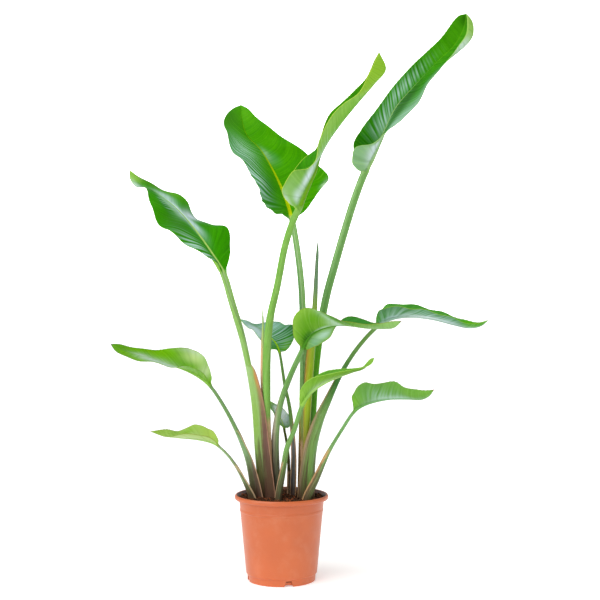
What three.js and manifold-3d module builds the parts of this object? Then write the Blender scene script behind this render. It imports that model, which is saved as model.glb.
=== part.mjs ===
// A potted bird of paradise: two clumps of long-stalked leaves in a nursery pot.
// Millimetres, +Z up, seen from the front along +Y. The origin is the middle of the pot's
// foot, on the surface that it stands on. Where a list holds places, each is [x, y, z].
import * as THREE from "three";
import { mergeVertices } from "three/addons/utils/BufferGeometryUtils.js";
import Module from "manifold-3d";

const wasm = await Module();
wasm.setup();

// Pot: a thin moulded nursery pot with a rolled lip and a notched foot ring.
const POT = {
  height: 174,
  lipRadius: 95.5,
  lipHeight: 9.5,
  topRadius: 86.6,
  lowRadius: 72.5,
  wall: 1.8,
  footRadius: 69,
  footHeight: 15,
  floorUnder: 6,
  floorTop: 8.5,
  centreFoot: 26,
  ridgeAt: 143,
  ridge: 0.8,
  segments: 40,
};
const NOTCH = { count: 4, first: 13, low: 18.5, top: 11.5, height: 11 };
const DRAIN = { from: 40, to: 56, width: 7 };

// Soil: fills the pot to below the rim, with the stalks standing in holes in it. It swells
// by the relief, follows the wall out under the lip by the flare, and rings divide its top.
const SOIL = { top: 167.5, relief: 2.4, flare: 1.6, rings: [0.8, 0.56, 0.3] };
const TOUCH = 0.3; // gap between pieces that touch
const HOLE = 0.5; // gap round a stalk in its hole
const HOLE_RISE = 8; // a hole's cutter ends this far above the soil

// Each clump's crown is the buried stem that its stalks rise from.
const FOOT = 120; // height of the stalks' lower ends
const CROWNS = {
  crown_left: { x: -31, y: -3, halfX: 33, halfY: 36, depth: 56, roots: 7 },
  crown_right: { x: 36, y: -3, halfX: 29, halfY: 54, depth: 60, roots: 9 },
};
const CROWN_BUILD = { sides: 20, levels: [1, 0.8, 0.5, 0.22, 0], lobe: 0.1, shoulder: 0.3 };

// Leaf build: rows along the leaf, and columns from the rib out to each edge.
const LARGE = { stalkRows: 10, bladeRows: 16, columns: 4 };
const SMALL = { stalkRows: 9, bladeRows: 13, columns: 3 };
const CROWDING = { stalk: 1.15, blade: 1.6, even: 0.55 }; // rows lie closer at the low end
const RIB_COLUMNS = 0.25; // share of the columns that lie over the rib
const BLADE = 0.9; // thickness of a blade
const SHEATH = 1.1; // thickness of a sheath's wing
const STALK_CURL = 28; // how far a stalk's channel curls each way, in degrees
const STALK_DEPTH = 1.7; // a stalk's depth to its radius
const STALK_TAPER = 1.3; // how early a stalk thins above the soil
const SHEATH_TAPER = 0.8; // how slowly its wings narrow
const RIB = { tip: 0.5, taper: 0.9 }; // the rib's radius at the tip, and how fast it thins
const EDGE_END = 0.12; // how blunt the tip is, to the stalk's width
const CURL_END = { full: 0.9, fade: 24 }; // where a folded tip is full, and how late it fades
// A wave is full away from a blade's ends, grows towards its edges and is out of step
// between the two.
const WAVE = { ends: 5.6, across: 2.5, between: 0.31 };

// Each leaf has a stalk line, a rib line and two edge lines, which run from the stalk's end
// to the tip. left and right are as seen on the leaf's upper face, with its tip up.
// clasps and faces say where the upper face looks, at the soil and at the blade's base.
// radius is the stalk's, at the soil and at the blade. sheath gives the height above the
// soil of the clasping wings, how wide each is there, and how slowly they narrow where that
// isn't the usual taper. belly bows each half of the blade, and tipCurl folds one edge over
// towards the tip.
const LEAVES = {
  leaf_tall_right: {
    stalk: [[58, 12, 120], [58, 12, 165], [65, 19, 364], [74, 24, 466], [91, 31, 570],
      [112, 37, 649], [134.5, 43, 728], [154, 50, 791]],
    rib: [[173, 59, 841], [191, 68, 875], [216, 83, 927], [241, 97, 979], [282, 112, 1028],
      [333, 128, 1083], [373, 140, 1124], [394, 148, 1165], [399, 153, 1193]],
    left: [[157, 61, 863], [149, 60, 897], [166, 67, 928], [194, 82, 967], [232, 101, 1020],
      [276, 119, 1072], [340, 137, 1135], [381, 148, 1187]],
    right: [[160, 36, 838], [145, 24, 853], [151, 18, 883], [188, 21, 891], [220, 34, 924],
      [253, 50, 948], [286, 66, 982], [306, 82, 1027], [338, 98, 1061], [374, 116, 1111],
      [395, 126, 1143], [399, 137, 1176]],
    clasps: [-1, 0, 0],
    faces: [-0.7, -0.6, 0.3],
    radius: [9, 7.1],
    sheath: { height: 150, left: 10, right: 10, wrap: 62 },
    belly: [-0.12, -0.2],
    tipCurl: { side: 1, from: 0.66, reach: [40, -14, -10] },
    wave: { depth: 2, count: 4, start: 0.1 },
  },
  leaf_tall_centre: {
    stalk: [[-26, -1, 120], [-26, -1, 165], [-31, -5, 366], [-30.5, -9, 447], [-22.5, -19, 533],
      [-8, -31, 600], [7, -50, 680], [22, -64, 729]],
    rib: [[34, -71, 756], [50, -80, 789], [68, -89, 825], [76, -96, 849], [92, -106, 878],
      [120, -119, 915], [150, -133, 950], [181, -149, 984], [201, -161, 1009], [187, -176, 1039]],
    left: [[22, -64, 763], [7, -55, 781], [9, -53, 806], [23, -55, 827], [46, -60, 851],
      [68, -70, 869], [77, -82, 892], [96, -99, 934], [117, -111, 954], [144, -125, 977],
      [164, -142, 996], [179, -161, 1027]],
    right: [[22, -79, 756], [2, -95, 781], [10, -103, 801], [26, -110, 823], [51, -111, 827],
      [69, -114, 842], [74, -126, 877], [93, -142, 916], [121, -154, 944], [150, -164, 967],
      [170, -173, 1002]],
    clasps: [1, 0.3, 0],
    faces: [-0.85, 0.1, 0.5],
    radius: [7.3, 7],
    sheath: { height: 170, left: 8, right: 8, wrap: 62 },
    belly: [-0.15, -0.15],
    wave: { depth: 2, count: 4, start: 0.3 },
  },
  leaf_tall_left: {
    stalk: [[39.5, 14, 120], [39.5, 14, 165], [43, 20, 363], [44, 25, 467], [41, 39, 591],
      [32, 50, 674]],
    rib: [[19, 64, 746], [6, 71, 787], [-20, 81, 845], [-47, 93, 890], [-76, 106, 922],
      [-87, 123, 957], [-91, 146, 993]],
    left: [[5, 58, 748], [-15, 46, 751], [-39, 40, 774], [-54, 43, 814], [-82, 55, 859],
      [-107, 69, 887], [-119, 89, 931], [-125, 105, 954], [-107, 133, 984]],
    right: [[31, 60, 745], [50, 53, 758], [82, 48, 803], [98, 50, 825], [78, 60, 850],
      [54, 70, 877], [17, 80, 904], [-20, 93, 931], [-55, 113, 962], [-77, 137, 985]],
    clasps: [1, 0, 0],
    faces: [-0.1, -0.9, 0.35],
    radius: [8.2, 5.5],
    sheath: { height: 120, left: 9, right: 9, wrap: 62 },
    belly: [0.1, 0.08],
    wave: { depth: 3, count: 5, start: 0.2 },
  },
  leaf_upper_left: {
    stalk: [[-40, 2, 120], [-40, 2, 165], [-48, 4, 263], [-56, 9, 364], [-77, 14, 477],
      [-102, 20, 564]],
    rib: [[-121.5, 26, 629], [-145, 33, 667], [-179, 45, 714], [-218, 59, 759], [-268, 76, 798],
      [-302, 88, 818], [-325, 101, 846]],
    left: [[-133, 17, 646], [-165, 9, 665], [-194, 6, 683], [-228, 10, 709], [-255, 20, 728],
      [-272, 38, 767], [-285, 59, 801], [-306, 75, 808], [-323, 89, 827]],
    right: [[-112, 35, 645], [-107, 52, 680], [-116, 67, 721], [-148, 74, 732], [-182, 77, 739],
      [-200, 85, 779], [-239, 91, 800], [-282, 96, 819], [-307, 100, 834]],
    clasps: [1, 0, 0],
    faces: [0.3, -0.75, 0.5],
    radius: [8.5, 6.3],
    sheath: { height: 265, taper: 0.3, left: 36.5, right: 9, wrap: 88 },
    belly: [0.08, 0.1],
    wave: { depth: 3, count: 5, start: 0.6 },
  },
  leaf_low_left: {
    stalk: [[-56, 0, 120], [-57, 0, 165], [-68, -4, 239], [-90, -15, 302], [-121, -33, 365]],
    rib: [[-143, -43, 399], [-162, -52, 416], [-186, -62, 430], [-219, -76, 443],
      [-257, -93, 456], [-293, -113, 467], [-314, -126, 476], [-327, -135, 485]],
    left: [[-148, -54, 412], [-160, -73, 431], [-179, -88, 438], [-205, -102, 439],
      [-234, -113, 445], [-262, -123, 452], [-294, -133, 458], [-317, -137, 472]],
    right: [[-140, -35, 413], [-147, -24, 435], [-161, -18, 459], [-185, -22, 472],
      [-224, -40, 473], [-261, -62, 471], [-296, -92, 479], [-316, -118, 485]],
    clasps: [1, 0.1, 0],
    faces: [0.1, -0.4, 0.9],
    radius: [7.5, 3.2],
    sheath: { height: 140, taper: 0.5, left: 26, right: 10, wrap: 85 },
    belly: [-0.15, -0.25],
    wave: { depth: 2.2, count: 4, start: 0.2 },
  },
  leaf_young_left: {
    stalk: [[-60, -14, 120], [-62, -14, 165], [-82, -23, 216], [-102, -36, 251]],
    rib: [[-126, -52, 279], [-140, -58, 287], [-165, -69, 294], [-199, -86, 299],
      [-226, -102, 304], [-253, -118, 315]],
    left: [[-131, -61, 289], [-148, -74, 300], [-171, -87, 306], [-196, -99, 307],
      [-223, -109, 303]],
    right: [[-126, -44, 289], [-135, -39, 305], [-149, -40, 313], [-172, -47, 321],
      [-190, -58, 315], [-206, -70, 310], [-224, -87, 316]],
    clasps: [1, 0.2, 0],
    faces: [0.1, -0.4, 0.9],
    radius: [6, 2.4],
    sheath: { height: 75, left: 15, right: 8, wrap: 75 },
    belly: [-0.2, -0.3],
    wave: { depth: 1, count: 3, start: 0.0 },
  },
  leaf_arching_right: {
    stalk: [[57, -21, 120], [57, -21, 165], [64, -22, 266], [79, -23, 325], [95, -24, 365],
      [118.5, -25, 418], [149.5, -27, 469]],
    rib: [[191, -31, 517], [211, -34, 530], [234, -37, 537], [268, -44, 538], [307, -54, 532],
      [346, -64, 521], [374, -72, 515], [395, -78, 519], [409, -81, 530]],
    left: [[198, -21, 531], [202, -10, 547], [213, -4, 560], [232, -5, 562], [262, -11, 562],
      [291, -19, 555], [330, -33, 544], [361, -50, 532], [391, -68, 526]],
    right: [[190, -41, 530], [192, -53, 544], [200, -63, 553], [216, -69, 557], [239, -75, 556],
      [274, -82, 552], [313, -88, 543], [348, -91, 531], [380, -90, 523]],
    clasps: [-0.25, 0.97, 0],
    faces: [-0.2, -0.1, 1],
    radius: [9, 4.4],
    sheath: { height: 260, left: 17, right: 26, wrap: 60 },
    belly: [-0.2, -0.2],
    wave: { depth: 2.2, count: 5, start: 0.4 },
  },
  leaf_cupped_centre: {
    stalk: [[-8, 3, 120], [-8, 3, 165], [-12, 0, 284], [-2.5, -8, 356], [17, -24, 414]],
    rib: [[44, -51, 474], [52, -56, 490], [62, -60, 502], [76, -63, 510], [94, -66, 516],
      [113, -69, 519], [137, -73, 518], [166, -80, 514], [198, -93, 513], [221, -106, 516],
      [235, -116, 529]],
    left: [[50, -56, 470], [64, -64, 476], [79, -70, 483], [97, -74, 496], [105, -69, 510],
      [113, -61, 524], [123, -56, 533], [137, -55, 537], [165, -62, 532], [184, -73, 525],
      [211, -93, 523]],
    right: [[36, -58, 480], [26, -65, 494], [23, -72, 514], [26, -79, 538], [40, -80, 552],
      [57, -79, 555], [77, -78, 548], [101, -83, 539], [120, -91, 528], [140, -97, 526],
      [166, -104, 524], [193, -112, 524], [218, -117, 529]],
    clasps: [-0.5, 0.85, 0],
    faces: [-0.2, 0.9, 0.3],
    radius: [7, 4.6],
    sheath: { height: 200, left: 17, right: 11, wrap: 62 },
    belly: [-0.1, -0.12],
    wave: { depth: 1.5, count: 4, start: 0.4 },
  },
  leaf_unfurling_front: {
    stalk: [[-6, -28, 120], [-6, -28, 165], [4, -29, 227], [12, -32, 272], [26, -37, 308]],
    rib: [[40, -48, 359], [48, -53, 380], [64, -57, 394], [88, -62, 407], [113, -69, 418],
      [140, -78, 428], [162, -87, 435], [175, -94, 447], [183, -100, 457]],
    left: [[44, -44, 375], [50, -43, 397], [62, -44, 411], [74, -47, 421], [92, -52, 429],
      [117, -60, 433], [143, -71, 435], [162, -83, 439]],
    right: [[36, -55, 374], [39, -61, 393], [50, -67, 408], [65, -71, 417], [85, -75, 422],
      [113, -81, 428], [140, -88, 433], [160, -95, 438]],
    clasps: [-0.2, 0.9, 0],
    faces: [-0.3, 0.2, 0.9],
    radius: [6, 4.2],
    sheath: { height: 80, left: 8, right: 8, wrap: 62 },
    belly: [-0.35, -0.35],
    wave: { depth: 0.6, count: 3, start: 0.0 },
  },
  leaf_low_right: {
    stalk: [[53, -44, 120], [53, -44, 165], [74, -48, 217], [95, -54, 267], [121.5, -64, 314]],
    rib: [[144, -74, 350], [158, -79, 361], [180, -86, 370], [213, -98, 377], [248, -113, 378],
      [272, -125, 378], [286, -134, 385], [295, -142, 398]],
    left: [[151, -67, 363], [157, -61, 378], [169, -60, 391], [188, -65, 395], [215, -75, 399],
      [244, -92, 393], [271, -115, 390]],
    right: [[142, -81, 363], [139, -91, 379], [145, -98, 393], [153, -102, 404], [165, -105, 409],
      [180, -108, 407], [201, -116, 410], [221, -124, 412], [242, -133, 402], [270, -141, 397]],
    clasps: [-0.6, 0.8, 0],
    faces: [-0.3, -0.2, 0.9],
    radius: [6.5, 3.4],
    sheath: { height: 110, left: 10, right: 12, wrap: 62 },
    belly: [-0.2, -0.25],
    wave: { depth: 2, count: 4, start: 0.5 },
  },
  leaf_back_left: {
    stalk: [[22, 17, 120], [22, 17, 165], [24, 18, 261], [16, 20, 349], [6.5, 24, 393]],
    rib: [[-5, 33, 462], [-12, 39, 479], [-25, 47, 493], [-42, 60, 507], [-59, 75, 516],
      [-75, 92, 523], [-91, 110, 529]],
    left: [[-12, 31, 467], [-24, 32, 468], [-37, 35, 478], [-50, 46, 493], [-61, 60, 506],
      [-75, 80, 513]],
    right: [[7, 33, 464], [19, 36, 477], [27, 40, 499], [23, 42, 518], [8, 46, 517],
      [-6, 54, 525], [-23, 65, 525], [-43, 76, 518], [-60, 88, 520], [-77, 99, 526]],
    clasps: [0.3, -0.95, 0],
    faces: [0.1, -0.9, 0.4],
    radius: [6.5, 2.3],
    sheath: { height: 150, left: 10, right: 8, wrap: 62 },
    belly: [0.1, 0.1],
    wave: { depth: 1.5, count: 4, start: 0.3 },
  },
  leaf_small_back: {
    stalk: [[14, 38, 120], [14, 38, 165], [13, 39, 248]],
    rib: [[4, 42, 304], [-2, 46, 322], [-12, 53, 338], [-23, 62, 350], [-32, 70, 357]],
    left: [[0, 39, 307], [-10, 40, 316], [-18, 46, 335], [-25, 56, 344]],
    right: [[13, 42, 304], [18, 46, 312], [15, 50, 328], [2, 55, 344], [-13, 62, 352],
      [-25, 69, 357]],
    clasps: [0.5, -0.8, 0],
    faces: [0.1, -0.9, 0.4],
    radius: [4.5, 2.2],
    sheath: { height: 50, left: 6, right: 6, wrap: 62 },
    belly: [0.15, 0.15],
    wave: { depth: 0.8, count: 3, start: 0.0 },
  },
};
const SMALL_LEAVES = [
  "leaf_young_left",
  "leaf_unfurling_front",
  "leaf_low_right",
  "leaf_back_left",
  "leaf_small_back",
];
const YOUNG_LEAVES = ["leaf_young_left", "leaf_unfurling_front"];

const SPEAR_BUILD = { rows: 15, sides: 8 };
// Each rolled young leaf has its line, and its radius at shares of the line's length.
const SPEARS = {
  spear_right_clump: {
    line: [[48, -3, 120], [48, -3, 165], [50, -5, 285], [53, -6, 366], [57.5, -7, 438],
      [61.5, -7, 485], [67.5, -7, 550], [71, -6, 621], [74, -5, 686]],
    radii: [[0, 6], [0.15, 6.5], [0.3, 8], [0.45, 9.3], [0.56, 9.5], [0.64, 7.8], [0.73, 6],
      [0.83, 4.9], [0.94, 3.4], [1, 0.4]],
  },
  spear_left_clump: {
    line: [[-31, 18, 120], [-31, 18, 165], [-36, 10, 324], [-39, 5, 416], [-39, 3, 478],
      [-38, 2, 519], [-39, 2, 548]],
    radii: [[0, 4.5], [0.65, 4.5], [0.78, 3.7], [0.88, 2.8], [0.96, 1.4], [1, 0.4]],
  },
};

const vector = (p) => new THREE.Vector3(...p);
const radians = (degrees) => (degrees * Math.PI) / 180;
const clamp = THREE.MathUtils.clamp;
const lerp = THREE.MathUtils.lerp;

// A smooth line through places, read by its share of the length.
function lineThrough(points) {
  const curve = new THREE.CatmullRomCurve3(points);
  curve.arcLengthDivisions = 400;
  return curve;
}

// The share of a line's length at which it passes its nth place.
function shareAt(curve, n) {
  const lengths = curve.getLengths();
  const at = (n / (curve.points.length - 1)) * (lengths.length - 1);
  const low = Math.floor(at);
  const high = Math.min(low + 1, lengths.length - 1);
  return lerp(lengths[low], lengths[high], at - low) / lengths[lengths.length - 1];
}

// The part of a direction that is square to a line.
function square(direction, along) {
  return direction.clone().addScaledVector(along, -direction.dot(along)).normalize();
}

// A place on the arc that a stalk's channel follows, at a share from the rib to an edge.
function onArc(frame, half, angle, share) {
  const radius = half / angle;
  return frame.place
    .clone()
    .addScaledVector(frame.right, radius * Math.sin(angle * share))
    .addScaledVector(frame.up, radius * (1 - Math.cos(angle * share)));
}

// Shares from the rib to an edge: rounded over the rib, then even across the blade.
function columnShares(core, half, columns) {
  const round = Math.min(core / half, 1);
  const ribEdge = Math.min(core / half, 0.9);
  return Array.from({ length: columns + 1 }, (_, i) => {
    const f = i / columns;
    const flat =
      f < RIB_COLUMNS
        ? (f / RIB_COLUMNS) * ribEdge
        : ribEdge + ((f - RIB_COLUMNS) / (1 - RIB_COLUMNS)) * (1 - ribEdge);
    const weight = half > core * 1.001 ? round ** 1.5 : 1;
    return weight * Math.sin((Math.PI / 2) * f) + (1 - weight) * flat;
  });
}

// Rows crowd towards the blade's base: the share of the blade at which each row lies.
function rowShare(i, build) {
  const even = i / (build.bladeRows - 1);
  return CROWDING.even * even + (1 - CROWDING.even) * even ** CROWDING.blade;
}

// The rows of a leaf: each row is places across it, with how far each lies from the rib.
function leafRows(leaf, build) {
  const stalk = leaf.stalk.map(vector);
  const rib = leaf.rib.map(vector);
  const line = lineThrough([...stalk, ...rib]);
  const joint = shareAt(line, stalk.length);
  const tip = rib[rib.length - 1];

  const frameAt = (share, face) => {
    const along = line.getTangentAt(share);
    const up = square(face, along);
    return { place: line.getPointAt(share), along, up, right: along.clone().cross(up) };
  };
  const [lowRadius, topRadius] = leaf.radius;
  const curl = radians(STALK_CURL);
  const jointFrame = frameAt(joint, vector(leaf.faces));
  const edges = [leaf.left, leaf.right].map((places, i) => {
    const flank = onArc(jointFrame, topRadius, curl, i ? 1 : -1);
    const end = tip.clone().lerp(flank.clone().sub(jointFrame.place).add(tip), EDGE_END);
    return lineThrough([flank, ...places.map(vector), end]);
  });

  const rows = [];
  for (let i = 0; i < build.stalkRows; i++) {
    const up = (i / build.stalkRows) ** CROWDING.stalk;
    const turn = THREE.MathUtils.smoothstep(up, 0, 1);
    const face = vector(leaf.clasps).lerp(jointFrame.up, turn);
    const frame = frameAt(joint * up, face);
    const core = lerp(topRadius, lowRadius, (1 - up) ** STALK_TAPER);
    const high = (frame.place.z - SOIL.top) / leaf.sheath.height;
    const wing = clamp(1 - high, 0, 1) ** (leaf.sheath.taper ?? SHEATH_TAPER);
    const angle = lerp(curl, radians(leaf.sheath.wrap), wing);
    // The blade's base starts at the face of the stalk, the rest runs through its middle.
    frame.place.addScaledVector(frame.up, 0.5 * core * (1 - up ** 6));
    const row = { places: [], reach: [], core, edge: SHEATH };
    for (const side of [-1, 1]) {
      const width = side < 0 ? leaf.sheath.left : leaf.sheath.right;
      const half = core + (width - lowRadius) * wing;
      const shares = columnShares(core, half, build.columns);
      for (const share of side < 0 ? shares.toReversed() : shares.slice(1)) {
        row.places.push(onArc(frame, half, angle, side * share));
        row.reach.push(share * half);
      }
    }
    rows.push(row);
  }
  for (let i = 0; i < build.bladeRows; i++) {
    const out = rowShare(i, build);
    const place = line.getPointAt(lerp(joint, 1, out));
    const along = line.getTangentAt(lerp(joint, 1, out));
    const ends = edges.map((edge) => edge.getPointAt(out));
    const up = ends[1].clone().sub(ends[0]).cross(along).normalize();
    const core = lerp(RIB.tip, topRadius, (1 - out) ** RIB.taper);
    const row = { places: [], reach: [], core, edge: BLADE };
    ends.forEach((end, k) => {
      const half = end.distanceTo(place);
      const bend = place.clone().lerp(end, 0.5).addScaledVector(up, leaf.belly[k] * half);
      if (leaf.tipCurl?.side === k) {
        const { from, reach } = leaf.tipCurl;
        const rise = THREE.MathUtils.smoothstep(out, from, CURL_END.full);
        bend.addScaledVector(vector(reach), rise * (1 - out ** CURL_END.fade));
      }
      const across = new THREE.QuadraticBezierCurve3(place, bend, end);
      const shares = columnShares(core, half, build.columns);
      for (const share of k ? shares.slice(1) : shares.toReversed()) {
        row.places.push(across.getPoint(share));
        row.reach.push(share * half);
      }
    });
    rows.push(row);
  }
  wave(rows, leaf.wave, build);
  setNormals(rows);
  return rows;
}

// Waves a blade's edges up and down.
function wave(rows, { depth, count, start }, build) {
  setNormals(rows);
  rows.slice(build.stalkRows).forEach((row, i) => {
    const out = rowShare(i, build);
    const swell = Math.min(WAVE.ends * out * (1 - out), 1) * depth;
    row.places.forEach((place, j) => {
      const f = j / build.columns - 1;
      const turn = count * out + start + WAVE.between * Math.sign(f);
      const lift = swell * Math.abs(f) ** WAVE.across * Math.sin(2 * Math.PI * turn);
      place.addScaledVector(row.normals[j], lift);
    });
  });
}

// Gives every place its direction out of the upper face.
function setNormals(rows) {
  const near = (list, i) => list[clamp(i, 0, list.length - 1)];
  rows.forEach((row, i) => {
    row.normals = row.places.map((_, j) => {
      const along = near(rows, i + 1).places[j].clone().sub(near(rows, i - 1).places[j]);
      const across = near(row.places, j + 1).clone().sub(near(row.places, j - 1));
      return across.cross(along).normalize();
    });
  });
}

// Turns rows into a closed body: thick over the rib, thin at the edges. grow swells it.
function bodyFromRows(rows, grow = 0) {
  const rings = rows.map((row) => {
    const last = row.places.length - 1;
    const upper = [];
    const lower = [];
    row.places.forEach((place, j) => {
      const round = Math.sqrt(Math.max(1 - (row.reach[j] / row.core) ** 2, 0));
      const thick = row.edge + Math.max(STALK_DEPTH * row.core - row.edge, 0) * round;
      const over = Math.min(0.5 * thick, 0.5 * BLADE + 0.12 * thick);
      const middle = place.clone();
      if (grow && (j === 0 || j === last)) {
        const inner = row.places[j === 0 ? 1 : last - 1];
        middle.add(place.clone().sub(inner).setLength(grow));
      }
      upper.push(middle.clone().addScaledVector(row.normals[j], over + grow));
      lower.push(middle.clone().addScaledVector(row.normals[j], over - thick - grow));
    });
    return [...upper, ...lower.toReversed()];
  });
  // The foot is cut level, and a hole's reaches down to what the stalk stands on.
  for (const place of rings[0]) place.z = FOOT - 3 * grow;
  return closedBody(rings, true);
}

// Skins rings of places and closes both ends. With faced set, a ring is two faces of one
// sheet, which are split alike, and its ends are closed from face to face.
function closedBody(rings, faced = false) {
  const size = rings[0].length;
  const face = size / 2;
  const positions = rings.flat().flatMap((p) => [p.x, p.y, p.z]);
  const triangles = [];
  for (let i = 0; i + 1 < rings.length; i++) {
    for (let j = 0; j < size; j++) {
      const a = i * size + j;
      const b = i * size + ((j + 1) % size);
      const c = a + size;
      const d = b + size;
      if (faced && j >= face && j < size - 1) triangles.push(a, b, c, b, d, c);
      else triangles.push(a, b, d, a, d, c);
    }
  }
  const close = (start, turned) => {
    const add = (a, b, c) =>
      turned
        ? triangles.push(start + c, start + b, start + a)
        : triangles.push(start + a, start + b, start + c);
    if (faced) {
      for (let j = 0; j < face - 1; j++) {
        add(j, j + 1, size - 2 - j);
        add(j, size - 2 - j, size - 1 - j);
      }
    } else {
      for (let j = 1; j < size - 1; j++) add(0, j, j + 1);
    }
  };
  close(0, true);
  close((rings.length - 1) * size, false);
  const body = new THREE.BufferGeometry();
  body.setAttribute("position", new THREE.Float32BufferAttribute(positions, 3));
  body.setIndex(triangles);
  return body;
}

// A rolled young leaf: a spear whose radius changes along its line.
function spearBody({ line, radii }) {
  const curve = lineThrough(line.map(vector));
  const { rows, sides } = SPEAR_BUILD;
  const rings = Array.from({ length: rows }, (_, i) => {
    const share = i / (rows - 1);
    const place = curve.getPointAt(share);
    const along = curve.getTangentAt(share);
    const front = square(new THREE.Vector3(0, -1, 0), along);
    const right = along.clone().cross(front);
    const k = Math.max(radii.findIndex(([at]) => at >= share), 1);
    const [from, to] = [radii[k - 1], radii[k]];
    const radius = lerp(from[1], to[1], (share - from[0]) / (to[0] - from[0]));
    return Array.from({ length: sides }, (_, j) => {
      const angle = (2 * Math.PI * j) / sides;
      return place
        .clone()
        .addScaledVector(right, radius * Math.cos(angle))
        .addScaledVector(front, -radius * Math.sin(angle));
    });
  });
  return { body: closedBody(rings), rings };
}

// Joining and cutting of closed bodies.
function toSolid(geometry) {
  const bare = new THREE.BufferGeometry();
  bare.setAttribute("position", geometry.getAttribute("position").clone());
  bare.setIndex(geometry.index);
  const merged = mergeVertices(bare, 1e-4);
  return new wasm.Manifold(
    new wasm.Mesh({
      numProp: 3,
      vertProperties: new Float32Array(merged.attributes.position.array),
      triVerts: new Uint32Array(merged.index.array),
    }),
  );
}

function fromSolid(solid) {
  const mesh = solid.getMesh();
  const geometry = new THREE.BufferGeometry();
  geometry.setAttribute("position", new THREE.BufferAttribute(mesh.vertProperties, 3));
  geometry.setIndex(new THREE.BufferAttribute(mesh.triVerts, 1));
  return geometry;
}

// Turns a profile of [radius, height] round the pot's axis.
function turned(profile, segments = POT.segments) {
  const points = profile.map(([r, z]) => new THREE.Vector2(r, z));
  const geometry = new THREE.LatheGeometry(points, segments);
  return geometry.rotateX(Math.PI / 2);
}

// The wall's outer radius at a height.
function wallRadius(z) {
  const share = (z - POT.footHeight) / (POT.height - POT.lipHeight - POT.footHeight);
  return lerp(POT.lowRadius, POT.topRadius, share);
}

function potBody() {
  const lipLow = POT.height - POT.lipHeight;
  const inner = (z) => wallRadius(z) - POT.wall;
  const profile = [
    [0, 0],
    [POT.centreFoot, 0],
    [POT.centreFoot + 2, POT.floorUnder],
    [POT.footRadius - 5.5, POT.floorUnder],
    [POT.footRadius - 3.5, 0],
    [POT.footRadius, 0],
    [POT.footRadius + 0.8, POT.footHeight - 1.5],
    [wallRadius(POT.footHeight), POT.footHeight],
    [wallRadius(POT.ridgeAt - 3), POT.ridgeAt - 3],
    [wallRadius(POT.ridgeAt) + POT.ridge, POT.ridgeAt - 2],
    [wallRadius(POT.ridgeAt) + POT.ridge, POT.ridgeAt + 2],
    [wallRadius(POT.ridgeAt + 3), POT.ridgeAt + 3],
    [wallRadius(lipLow - 1.5), lipLow - 1.5],
    [POT.lipRadius - 1.5, lipLow],
    [POT.lipRadius, lipLow + 2],
    [POT.lipRadius, POT.height - 3],
    [POT.lipRadius - 1.6, POT.height - 0.6],
    [POT.lipRadius - 3.2, POT.height],
    [POT.lipRadius - 4.6, POT.height - 1.2],
    [inner(lipLow) + 1.2, lipLow],
    [inner(lipLow - 3), lipLow - 3],
    [inner(POT.footHeight), POT.footHeight],
    [POT.footRadius - 3, POT.floorTop],
    [0, POT.floorTop],
  ];
  let solid = toSolid(turned(profile));
  const notch = new THREE.Shape([
    new THREE.Vector2(-NOTCH.low / 2, -1),
    new THREE.Vector2(NOTCH.low / 2, -1),
    new THREE.Vector2(NOTCH.top / 2, NOTCH.height),
    new THREE.Vector2(-NOTCH.top / 2, NOTCH.height),
  ]);
  const slot = new THREE.Shape([
    new THREE.Vector2(-DRAIN.width / 2, POT.floorUnder - 1),
    new THREE.Vector2(DRAIN.width / 2, POT.floorUnder - 1),
    new THREE.Vector2(DRAIN.width / 2, POT.floorTop + 1),
    new THREE.Vector2(-DRAIN.width / 2, POT.floorTop + 1),
  ]);
  for (let i = 0; i < NOTCH.count; i++) {
    // A cutter starts along +Z at the front and is turned round the axis.
    const turn = radians(NOTCH.first + (i * 360) / NOTCH.count);
    const place = (shape, from, to) =>
      new THREE.ExtrudeGeometry(shape, { depth: to - from, bevelEnabled: false })
        .translate(0, 0, from)
        .rotateX(Math.PI / 2)
        .rotateZ(turn);
    solid = solid.subtract(toSolid(place(notch, POT.footRadius - 4.5, POT.footRadius + 12)));
    solid = solid.subtract(toSolid(place(slot, DRAIN.from, DRAIN.to)));
  }
  return fromSolid(solid);
}

// The uneven height of the soil at a place: two slow waves across it.
function soilTop(x, y) {
  const swell = Math.sin(x * 0.11 + 1.3) * Math.cos(y * 0.09) + Math.sin((x - y) * 0.17);
  return SOIL.top + 0.5 * SOIL.relief * swell;
}

function crownBody({ x, y, halfX, halfY, depth, roots }, grow = 0) {
  const { sides, levels, lobe, shoulder } = CROWN_BUILD;
  const top = FOOT - TOUCH + grow;
  const rings = levels.map((level) =>
    Array.from({ length: sides }, (_, j) => {
      const angle = (2 * Math.PI * j) / sides;
      const lobes = 1 + lobe * level * Math.cos(roots * angle);
      // It widens a little to its shoulder, and then draws in to its root.
      const out = (level < shoulder ? 0.94 + 0.27 * level : 1.06 - 0.75 * level) * lobes;
      return new THREE.Vector3(
        x + (halfX * out + grow) * Math.cos(angle),
        y + (halfY * out + grow) * Math.sin(angle),
        top - level * (depth + 2 * grow),
      );
    }),
  );
  return closedBody(rings);
}

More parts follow.
